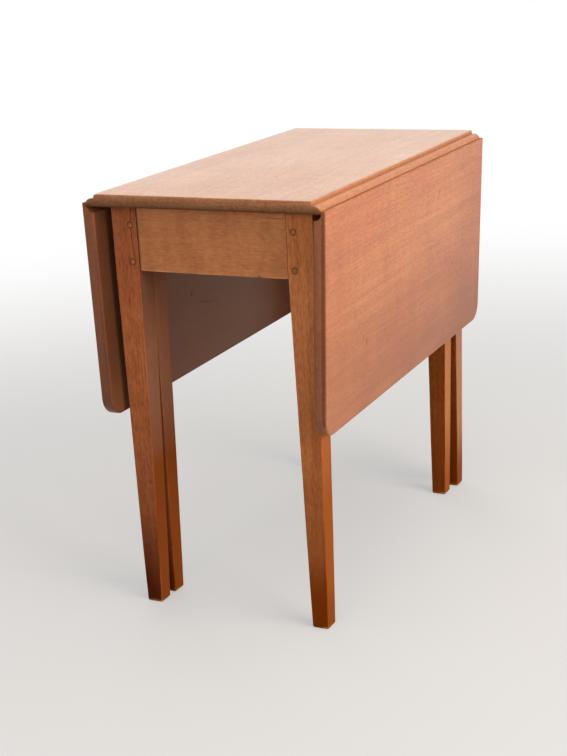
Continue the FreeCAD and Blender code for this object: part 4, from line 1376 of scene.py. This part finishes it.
@dataclass(kw_only=True)
class FixedLeg(Leg):
    """A fixed leg: square beside the rails, tapered below, with peg rings on its end face."""

    end: str
    side: str
    outer_x: float = 179.1
    outer_y: float = 362.5
    square: float = 45.6
    foot_square: float = 30.0
    outer_taper: float = 4.5
    top: float = 709.0
    waver: float = 0.176
    taper_z: float = 600.0
    peg_x: float = 145.5
    peg_heights: tuple[float, float] = (614.5, 675.5)
    peg_radius: float = 4.6
    fine_step: float = 0.65
    groove: float = 0.9
    groove_width: float = 0.6
    groove_dirt: float = 0.8
    top_dirt: float = 0.45
    inner_dirt: float = 0.36
    crack: tuple[tuple[float, float], ...] = ()
    seed: int = 1

    def grooves(self, x: np.ndarray, height: np.ndarray) -> np.ndarray:
        """Depth of the rings round the pegs and of the crack, as a share of the full depth.

        Each is a bell of the distance to the peg's circle or to the crack's line, whose width
        wavers and which deepens downwards.

        Args:
            x: X of the points.
            height: Their height.

        Returns:
            The share at each point.
        """
        groove = np.zeros(x.shape)
        for peg_z in self.peg_heights:
            from_peg = np.hypot(x - self.peg_x, height - peg_z) - self.peg_radius - 0.35
            groove = np.maximum(groove, bell(from_peg, self.groove_width))
        if not self.crack:
            return groove
        line = np.asarray(self.crack)[::-1]
        centre = np.interp(height, line[:, 1], line[:, 0])
        inside = (height > line[0, 1]) & (height < line[-1, 1])
        width = 0.75 + 0.35 * unevenness(height, height * 0.0, 5, 6.0, 24.0)
        clear = np.hypot(x - self.peg_x, height - self.peg_heights[1]) > self.peg_radius - 0.6
        strength = np.interp(height, line[:, 1], np.linspace(0.6, 1.6, len(line)))
        return np.maximum(groove, strength * bell((x - centre) / width, 1.0) * inside * clear)

    def shell(self) -> Shell:
        """Carry the rounded square down the leg, and cut the grooves into its end face.

        Below the rails every face comes in evenly towards the foot.

        Returns:
            The closed surface, at the +X, -Y corner of the table.
        """
        peg_rows = [about(height, 6.5, self.fine_step) for height in self.peg_heights]
        z = stations(self.foot_heights, np.linspace(16.0, 592.0, 73), [self.taper_z],
                     np.linspace(603.0, self.top, 54), *peg_rows, apart=0.2)
        fall = np.clip((self.taper_z - z) / (self.taper_z - self.foot_chamfer), 0.0, 1.0)
        chamfer = np.clip(self.foot_chamfer - z, 0.0, None)
        size = self.square + (self.foot_square - self.square) * fall - 2.0 * chamfer
        high_x = self.outer_x - self.outer_taper * fall - chamfer
        low_y = -(self.outer_y - self.outer_taper * fall - chamfer)
        low = np.stack([high_x - size, low_y], 1)
        high = np.stack([high_x, low_y + size], 1)
        near, plain = self.near_arris(), self.plain_side()
        from_inner = self.peg_x - (self.outer_x - self.square + self.arris)
        fine = about(from_inner + 0.6, 9.1, self.fine_step) / (self.square - 2.0 * self.arris)
        show = stations(near, fine, np.linspace(0.6, 0.85, 4), 1.0 - near, apart=0.004)
        rings = square_rings(low, high, z, self.softened(z, 0.45, 1.4), (show, plain, plain, plain))
        x, y, height = rings[..., 0], rings[..., 1], rings[..., 2]
        on_face = (np.abs(y - low_y[:, None]) < 0.01) & (height > self.taper_z + 2.0)
        groove = np.where(on_face, self.grooves(x, height), 0.0)
        middle = (low + high)[:, None, :] / 2.0
        across = np.abs(rings[..., :2] - middle)
        wear = self.wear(bell(across[..., 0] - across[..., 1], 1.4), x, height)
        dirt = self.groove_dirt * np.clip(groove, 0.0, 1.0) + self.top_dirt * bell(height - self.top, 7.0)
        # Dirt and painted shade on the foot's chamfer.
        dirt += self.foot_dirt * bell(height, 1.0)
        # Painted shade on the inner face below the apron.
        shaded = np.clip((height - 460.0) / 90.0, 0.0, 1.0) * (x < low[:, :1] + 0.4)
        dirt = np.maximum(dirt, self.inner_dirt * shaded)
        shape = rings.copy()
        shape[..., 1] += groove * self.groove
        shape[..., :2] += (shape[..., :2] - middle) / size[:, None, None] * self.dips(rings)[..., None]
        return Shell(shape, dirt, wear)

    def build(self) -> None:
        """Build, dress and seat the leg at its own corner."""
        shell = self.shell()
        shell.rings[..., 0] *= 1.0 if self.side == "right" else -1.0
        shell.rings[..., 1] *= 1.0 if self.end == "near" else -1.0
        piece = make_piece(f"fixed_leg_{self.end}_{self.side}", [shell])
        dress(piece, self.finish.material(piece.name, Grain.LEG, self.cut))
        seat(piece, "frame", self.finish.slot, f"leg_{self.end}_{self.side}")


@dataclass(kw_only=True)
class SwingLeg(Leg):
    """A swing leg, worked out closed on the +X side, then swung and turned to its side."""

    side: str
    swing: float
    turn: float
    end_taper: float
    outer_x: float = 171.0
    outer_y: float = 314.9
    square: float = 43.0
    foot_square: float = 29.0
    outer_taper: float = 8.5
    top: float = 708.4
    foot_z: float = 0.5
    waver: float = 0.16
    top_dirt: float = 0.5
    step_z: float = 599.4
    notch_x: float = 149.5
    pin_x: float = 158.25
    pin_y: float = 20.0
    seed: int = 3

    def shell(self) -> Shell:
        """Carry the rounded square down the leg, cut away behind above the rail's lower edge.

        Returns:
            The closed surface, closed against the frame on the +X side.
        """
        step = self.step_z - self.foot_z
        from_foot = stations(self.foot_heights, np.linspace(16.0, 590.0, 72), [step - HAIR, step + HAIR],
                             np.linspace(606.0, self.top - self.foot_z, 22))
        z = from_foot + self.foot_z
        fall = np.clip((self.step_z - z) / (step - self.foot_chamfer), 0.0, 1.0)
        chamfer = np.clip(self.foot_chamfer - from_foot, 0.0, None)
        size = self.square + (self.foot_square - self.square) * fall - 2.0 * chamfer
        high_x = self.outer_x - self.outer_taper * fall - chamfer
        high_y = self.outer_y - self.end_taper * fall - chamfer
        low_x = np.where(z > self.step_z, self.notch_x, high_x - size)
        low = np.stack([low_x, high_y - size], 1)
        high = np.stack([high_x, high_y], 1)
        radius = np.where(z > self.step_z, self.least_arris, self.softened(z, 0.4, 1.2))
        rings = square_rings(low, high, z, radius, (self.plain_side(),) * 4)
        middle = (low + high)[:, None, :] / 2.0
        rings[..., :2] += (rings[..., :2] - middle) / size[:, None, None] * self.dips(rings)[..., None]
        height = rings[..., 2]
        inset = (high - low)[:, None, :] / 2.0 - np.abs(rings[..., :2] - middle)
        wear = self.wear(bell(inset.max(-1), 1.6), rings[..., 0], height)
        # Dirt at the top, and dirt with painted shade on the foot's chamfer.
        dirt = self.top_dirt * bell(height - self.top, 9.0) + self.foot_dirt * bell(height - self.foot_z, 1.0)
        return Shell(rings, dirt, wear)

    def build(self) -> None:
        """Build, dress and seat the swing leg."""
        shell = self.shell()
        swung = turned_about_z(shell.rings, -self.swing, self.pin_x, self.pin_y)
        shell.rings = turned_about_z(swung, self.turn)
        piece = make_piece(f"swing_leg_{self.side}", [shell])
        dress(piece, self.finish.material(piece.name, Grain.LEG, self.cut))
        seat(piece, f"gate_{self.side}", self.finish.slot, f"gate_leg_{self.side}")


# ---- Aprons and pegs -----------------------------------------------------------------------------
@dataclass
class Apron:
    """An end apron between two legs, with its tenons, a softened lower edge and a knock in it."""

    end: str
    outer_y: float = 362.0
    thickness: float = 20.0
    leg_face: float = 133.5
    gaps: tuple[float, float] = (1.7, 0.3)
    low: float = 600.0
    high: float = 709.0
    arris: float = 1.4
    tenon: float = 10.0
    tenon_length: float = 8.0
    tenon_low: float = 604.0
    tenon_high: float = 699.0
    knock_x: float = 81.9
    knock: float = 1.7
    scribe_z: float = 696.0
    scribe_from: float = 89.0
    scribe: float = 0.3
    dip: float = 0.15
    end_lift: float = 0.6
    knock_dirt: float = 0.5
    scribe_dirt: float = 0.45
    joint_dirt: float = 0.75
    top_dirt: float = 0.35
    edge_wear: float = 0.7
    cut: Point = (0.0, 0.0, 0.0)

    def section(self) -> np.ndarray:
        """Trace the section: down the back, under the edge, round the arris and up the face.

        Returns:
            Points of Y and Z.
        """
        outer, inner = -self.outer_y, -(self.outer_y - self.thickness)
        turn = np.linspace(0.0, math.pi / 2.0, 6)
        arris = [outer + self.arris * (1.0 - np.sin(turn)), self.low + self.arris * (1.0 - np.cos(turn))]
        rows = stations(np.linspace(self.low + 3.0, self.high, 34), about(self.scribe_z, 0.9, 0.45),
                        [self.low + self.arris + 0.6], apart=0.2)
        return np.concatenate([
            [[inner, self.high], [inner, self.low], [(inner + outer) / 2.0, self.low]],
            np.stack(arris, 1),
            np.stack([np.full(len(rows), outer), rows], 1),
        ])

    def shell(self) -> Shell:
        """Carry the apron's section from leg to leg.

        The knock lifts and pushes in the lower edge by its depth times a bell along X and a decay
        up the face, and the scribed line is a shallow groove.

        Returns:
            The closed surface of the near apron.
        """
        section = self.section()
        outer, middle = -self.outer_y, -(self.outer_y - self.thickness / 2.0)
        left, right = self.leg_face - self.gaps[0], self.leg_face - self.gaps[1]
        places = stations([-left, right], np.linspace(-131.0, 131.0, 80), about(self.knock_x, 6.0, 0.75),
                          about(-131.0, 1.0, 0.5), apart=0.2)
        shape = (len(places), len(section))
        x = np.broadcast_to(places[:, None], shape)
        y = np.broadcast_to(section[:, 0], shape)
        z = np.broadcast_to(section[:, 1], shape)
        outside, front = y < middle, y < outer + 0.01
        hit = bell(x - self.knock_x, 2.4) * np.exp(-(z - self.low) / 2.6) * outside
        scribed = bell(z - self.scribe_z, 0.55) * (x > self.scribe_from) * outside
        from_leg = np.minimum(x + self.leg_face, self.leg_face - x)
        dips = self.dip * (unevenness(x, z, 31, 45.0, 180.0) - 1.0) * np.clip(from_leg / 12.0, 0.0, 1.0)
        lifted = bell(from_leg - self.gaps[1], 2.0) * bell(z - self.low, 2.5) * outside
        dirt = np.maximum.reduce([self.knock_dirt * hit, self.scribe_dirt * scribed,
                                  self.joint_dirt * bell(x + left, 1.5),
                                  self.top_dirt * bell(z - self.high, 2.5)])
        wear = bell(z - self.low - 0.6, 1.7) * outside * self.edge_wear
        y = y + hit * self.knock * 0.7 + np.where(front, scribed * self.scribe - dips, 0.0)
        z = z + hit * self.knock + lifted * self.end_lift
        return Shell(np.stack([x, y, z], -1), dirt, wear)

    def tenon_shell(self, sign: float) -> Shell:
        """Make the tenon at one end, which shows only in the open joint and is dirty there.

        Args:
            sign: -1 for the left end, 1 for the right.

        Returns:
            The closed surface.
        """
        middle = -(self.outer_y - self.thickness / 2.0)
        x = sign * (self.leg_face + np.array([-self.tenon_length / 2.0, self.tenon_length / 2.0]))[:, None]
        y = middle + self.tenon / 2.0 * np.array([-1.0, 1.0, 1.0, -1.0])
        z = np.array([self.tenon_low, self.tenon_low, self.tenon_high, self.tenon_high])
        return Shell(np.stack(np.broadcast_arrays(x, y, z), -1), np.ones((2, 4)))

    def build(self) -> None:
        """Build, dress and seat the apron."""
        shells = [self.shell(), self.tenon_shell(-1.0), self.tenon_shell(1.0)]
        piece = make_piece(f"end_apron_{self.end}", to_end(shells, self.end))
        dress(piece, APRON_POLISH.material(piece.name, Grain.APRON, self.cut))
        seat(piece, "frame", APRON_POLISH.slot, f"apron_{self.end}")


@dataclass
class ApronPegs:
    """The four pegs of an apron's tenons: whittled, a little out of round, with domed ends."""

    end: str
    leg_y: float = FixedLeg.outer_y
    peg_x: float = FixedLeg.peg_x
    heights: tuple[float, float] = FixedLeg.peg_heights
    radius: float = FixedLeg.peg_radius
    length: float = 21.0
    proud: float = 0.35
    rim_dirt: float = 0.5

    def peg(self, x: float, z: float, seed: int) -> Shell:
        """Turn a peg's outline about its axis.

        The radius varies round the peg as r (0.95 + 0.03 cos 2a + 0.02 cos 5a) with seeded phases,
        and the end rises from its rim as a low dome.

        Args:
            x: X of the axis.
            z: Height of the axis.
            seed: Picks the phases.

        Returns:
            The closed surface.
        """
        chance = np.random.default_rng(seed)
        angle = np.linspace(0.0, 2.0 * math.pi, 32, endpoint=False)
        first, second = chance.uniform(0.0, 2.0 * math.pi, 2)
        round_out = 0.95 + 0.03 * np.cos(2.0 * angle + first) + 0.02 * np.cos(5.0 * angle + second)
        share = np.array([0.02, 0.35, 0.7, 0.9, 0.98, 1.0, 1.0])
        depth = np.array([-1.0, -0.9, -0.55, 0.0, 0.9, 2.0, self.length / self.proud]) * self.proud
        radius = self.radius * share[:, None] * round_out
        y = -self.leg_y + np.broadcast_to(depth[:, None], radius.shape)
        rim = np.zeros(radius.shape)
        rim[3:5] = self.rim_dirt
        return Shell(np.stack([x + radius * np.cos(angle), y, z + radius * np.sin(angle)], -1), rim)

    def build(self) -> None:
        """Build, dress and seat the pegs of one end."""
        axes = [(sign * self.peg_x, height) for sign in (-1.0, 1.0) for height in self.heights]
        shells = [self.peg(x, z, 60 + number) for number, (x, z) in enumerate(axes)]
        piece = make_piece(f"pegs_{self.end}_apron", to_end(shells, self.end), 50.0)
        dress(piece, PEG_WOOD.material(piece.name, Grain.TOP, (0.0, 0.0, 0.0)))
        seat(piece, "frame", PEG_WOOD.slot, f"apron_pegs_{self.end}")


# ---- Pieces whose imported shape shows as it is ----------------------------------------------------
@dataclass
class UnderFrame:
    """The rails, swing arms, glue blocks and smaller pegs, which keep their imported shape."""

    nodes: dict[str, bpy.types.Object]
    peg_names: tuple[str, ...] = ("side_rail_pegs", "gate_leg_pegs")
    rail_names: tuple[str, ...] = ("side_rail", "knuckle_rail", "gate_arm", "glue_block")

    def dress(self) -> None:
        """Give each rail, arm, block and peg the secondary wood or the peg wood, cut afresh."""
        for number, (name, node) in enumerate(sorted(self.nodes.items())):
            cut = (0.11 * number, 0.07 * number, 0.23 * number)
            if name.startswith(self.peg_names):
                dress(node, PEG_WOOD.material(name, Grain.LEG, cut))
            elif name.startswith(self.rail_names) and "screws" not in name:
                dress(node, RAIL_WOOD.material(name, Grain.LEAF, cut))
            else:
                continue
            log.info("%s: dressed as it is", name)


@dataclass
class Ironwork:
    """The table hinges, the pins of the wooden hinges and all screws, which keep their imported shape."""

    nodes: dict[str, bpy.types.Object]
    iron_names: tuple[str, ...] = ("hinge_", "knuckle_pin")

    def dress(self) -> None:
        """Give hinges and pins dark iron, and screws dull steel."""
        iron = HINGE_IRON.material("hinges")
        steel = SCREW_STEEL.material("screws")
        for name, node in sorted(self.nodes.items()):
            if "screws" in name:
                dress(node, steel)
            elif name.startswith(self.iron_names):
                dress(node, iron)
            else:
                continue
            log.info("%s: dressed as it is", name)


# ---- Studio --------------------------------------------------------------------------------------
@dataclass
class Studio:
    """The floor, the lamps, the white surroundings and the camera."""

    eye: Point = (1064.088, -2327.046, 1106.438)
    yaw: float = -0.438838
    pitch: float = -0.306381
    roll: float = -0.048396
    lens: float = 68.0684
    sensor: float = 36.0
    shift: tuple[float, float] = (-0.019933, 0.016237)
    clip: tuple[float, float] = (0.05, 200.0)
    floor: Colour = (196, 193, 189)
    floor_reach: float = 40.0
    fade: tuple[float, float] = (0.7, 3.2)
    least_glow: float = 0.38
    surround: float = 0.36

    def lay_floor(self) -> None:
        """Lay a wide plain floor that fades into the white surroundings far from the table.

        Only the camera and reflections see the glow that it fades into, so it lights nothing.
        """
        reach = self.floor_reach
        corners = [(-reach, -reach, 0), (reach, -reach, 0), (reach, reach, 0), (-reach, reach, 0)]
        mesh = bpy.data.meshes.new("floor")
        mesh.from_pydata(corners, [], [(0, 1, 2, 3)])
        floor = bpy.data.objects.new("floor", mesh)
        bpy.context.scene.collection.objects.link(floor)
        graph = Graph("floor")
        graph.shader.inputs["Base Color"].default_value = linear(self.floor)
        graph.set(Roughness=0.9, Specular_IOR_Level=0.1)
        glow = graph.tree.nodes.new("ShaderNodeEmission")
        glow.inputs["Color"].default_value = (1.0, 1.0, 1.0, 1.0)
        mixer = graph.tree.nodes.new("ShaderNodeMixShader")
        rays = graph.tree.nodes.new("ShaderNodeLightPath")
        seen = graph.math("MAXIMUM", rays.outputs["Is Camera Ray"], rays.outputs["Is Glossy Ray"])
        away = graph.vector("LENGTH", graph.coordinates.outputs["Object"])
        graph.put(mixer.inputs[0], graph.times(seen, graph.ramp(away, *self.fade, self.least_glow, 1.0)))
        graph.put(mixer.inputs[1], graph.shader.outputs["BSDF"])
        graph.put(mixer.inputs[2], glow.outputs[0])
        graph.put(graph.output.inputs["Surface"], mixer.outputs[0])
        mesh.materials.append(graph.material)

    def light_surroundings(self) -> None:
        """Light the table evenly from all round, and show white where a ray leaves the scene."""
        world = bpy.data.worlds.new("surroundings")
        bpy.context.scene.world = world
        world.use_nodes = True
        tree = world.node_tree
        back = tree.nodes["Background"]
        rays = tree.nodes.new("ShaderNodeLightPath")
        level = rays.outputs["Is Camera Ray"]
        for word in ("Is Glossy Ray", "Is Transmission Ray"):
            more = tree.nodes.new("ShaderNodeMath")
            more.operation = "MAXIMUM"
            tree.links.new(level, more.inputs[0])
            tree.links.new(rays.outputs[word], more.inputs[1])
            level = more.outputs[0]
        span = tree.nodes.new("ShaderNodeMapRange")
        tree.links.new(level, span.inputs[0])
        span.inputs["To Min"].default_value = self.surround
        span.inputs["To Max"].default_value = 1.0
        tree.links.new(span.outputs[0], back.inputs["Strength"])
        back.inputs["Color"].default_value = (1.0, 1.0, 1.0, 1.0)

    def lamp(self, name: str, place: Point, aim: Point, size: tuple[float, float], watts: float,
             colour: Colour) -> bpy.types.Object:
        """Hang a soft rectangular lamp.

        Args:
            name: Name of the lamp.
            place: Its place in metres.
            aim: The point that it faces, in metres.
            size: Width and height in metres.
            watts: Its power.
            colour: Its colour.

        Returns:
            The lamp.
        """
        data = bpy.data.lights.new(name, "AREA")
        data.shape = "RECTANGLE"
        data.size, data.size_y = size
        data.energy = watts
        data.color = linear(colour)[:3]
        lamp = bpy.data.objects.new(name, data)
        bpy.context.scene.collection.objects.link(lamp)
        lamp.location = place
        back = (Vector(place) - Vector(aim)).normalized()
        lamp.rotation_euler = back.to_track_quat("Z", "Y").to_euler()
        lamp.visible_camera = False
        lamp.visible_glossy = False
        return lamp

    def light(self) -> None:
        """Hang a broad lamp to the right, softer ones in front, overhead and behind, and a glare panel."""
        self.lamp("key", (3.0, -0.8, 1.7), (0.1, 0.0, 0.45), (2.2, 1.8), 88.0, (255, 249, 240))
        self.lamp("front", (0.2, -3.6, 1.6), (0.0, -0.4, 0.7), (2.2, 1.2), 26.0, (255, 248, 238))
        self.lamp("overhead", (0.4, -0.4, 3.4), (0.0, 0.0, 0.7), (2.6, 2.6), 44.0, (255, 252, 250))
        self.lamp("back", (-2.4, 2.6, 1.8), (0.0, 0.0, 0.5), (2.4, 2.0), 34.0, (250, 251, 255))
        panel = self.lamp("panel", (-1.45, 3.2, 1.3), (0.0, 0.0, 0.8), (3.0, 1.8), 6.0, (255, 250, 244))
        panel.visible_glossy = True

    def set_camera(self) -> None:
        """Stand the camera at the eye and aim it by yaw, pitch and roll.

        Forward is (sin yaw cos pitch, cos yaw cos pitch, sin pitch); right and up follow from it
        and are turned together by the roll.
        """
        level = math.cos(self.pitch)
        forward = np.array([math.sin(self.yaw) * level, math.cos(self.yaw) * level, math.sin(self.pitch)])
        right = np.array([math.cos(self.yaw), -math.sin(self.yaw), 0.0])
        up = np.cross(right, forward)
        data = bpy.data.cameras.new("camera")
        data.sensor_width = self.sensor
        data.lens = self.lens
        data.shift_x, data.shift_y = self.shift
        data.clip_start, data.clip_end = self.clip
        camera = bpy.data.objects.new("camera", data)
        bpy.context.scene.collection.objects.link(camera)
        matrix = np.eye(4)
        matrix[:3, 0] = math.cos(self.roll) * right + math.sin(self.roll) * up
        matrix[:3, 1] = -math.sin(self.roll) * right + math.cos(self.roll) * up
        matrix[:3, 2] = -forward
        matrix[:3, 3] = np.asarray(self.eye) * MM
        camera.matrix_world = Matrix(matrix.tolist())
        bpy.context.scene.camera = camera

    def build(self) -> None:
        """Set the view, the floor, the lamps, the surroundings and the camera."""
        bpy.context.scene.view_settings.view_transform = "Standard"
        self.lay_floor()
        self.light_surroundings()
        self.light()
        self.set_camera()
        log.info("studio: floor, lamps and camera")


# ---- The table -----------------------------------------------------------------------------------
RIGHT_LEAF_MARKS = (
    Mark((211.3, 133.0, 650.0), (3.0, 19.0, 1.7), (52.0, 0.0, 0.0), 0.75),
    Mark((206.6, 219.0, 503.5), (3.0, 10.0, 1.6), (35.0, 0.0, 0.0), 0.7),
    Mark((207.2, -202.0, 512.0), (4.0, 2.6, 3.6), depth=0.5),
    Mark((204.7, -222.0, 467.0), (4.0, 3.4, 10.0), depth=0.5),
    Mark((203.1, -393.0, 530.0), (5.5, 4.0, 420.0), (0.0, 2.254, 0.0), 0.58),
    # Painted shade, faintly darker towards the far end.
    Mark((207.0, 400.0, 520.0), (25.0, 280.0, 330.0), depth=0.08),
)
LEFT_LEAF_MARKS = (
    Mark((-190.0, -95.0, 493.0), (3.0, 5.0, 3.5), depth=0.7),
    Mark((-190.0, -41.0, 466.0), (3.0, 42.0, 1.4), (-12.0, 0.0, 0.0), 0.5),
    # Painted shadow on the inner face beside the near leg.
    Mark((-193.0, -380.0, 530.0), (9.0, 70.0, 300.0), depth=0.65),
    Mark((-205.0, -393.0, 530.0), (24.0, 6.0, 560.0), depth=0.5),
)
# X and height of the crack through the pegs of the near left leg, from the top down.
LEG_CRACK = ((141.7, 709.5), (143.0, 697.0), (144.5, 684.5), (145.0, 669.0), (144.3, 650.7), (143.5, 634.2),
             (142.3, 621.5))


def main() -> None:
    """Build the table piece by piece."""
    logging.basicConfig(level=logging.INFO, format="%(name)s: %(message)s")
    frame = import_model()
    nodes = frame["nodes"]
    Studio().build()
    FixedTop().build()
    Leaf(side="right", lean=2.254, turn=0.0, cut=(0.3, 0.02, 1.1), marks=RIGHT_LEAF_MARKS).build()
    Leaf(side="left", lean=0.7, turn=180.0, cut=(0.9, 0.05, 2.3), chip=True, marks=LEFT_LEAF_MARKS).build()
    FixedLeg(end="near", side="left", crack=LEG_CRACK, seed=1, cut=(0.1, 0.2, 0.0)).build()
    FixedLeg(end="near", side="right", seed=2, finish=AMBER_LEG, cut=(0.5, 0.1, 0.7)).build()
    FixedLeg(end="far", side="left", seed=3, finish=BACK_LEG, cut=(0.2, 0.6, 1.4)).build()
    FixedLeg(end="far", side="right", seed=4, finish=SHADED_FAR_RIGHT_LEG, cut=(0.8, 0.3, 2.1)).build()
    SwingLeg(side="right", swing=0.7, turn=0.0, end_taper=12.5, seed=5, finish=SHADED_RIGHT_LEG,
             cut=(0.4, 0.9, 0.3)).build()
    SwingLeg(side="left", swing=1.7, turn=180.0, end_taper=1.5, seed=6, finish=BACK_LEG,
             cut=(0.7, 0.5, 1.9)).build()
    Apron("near", cut=(0.05, 0.3, 0.2)).build()
    Apron("far", cut=(0.35, 0.1, 1.2)).build()
    ApronPegs("near").build()
    ApronPegs("far").build()
    UnderFrame(nodes).dress()
    Ironwork(nodes).dress()


if __name__ == "__main__":
    main()
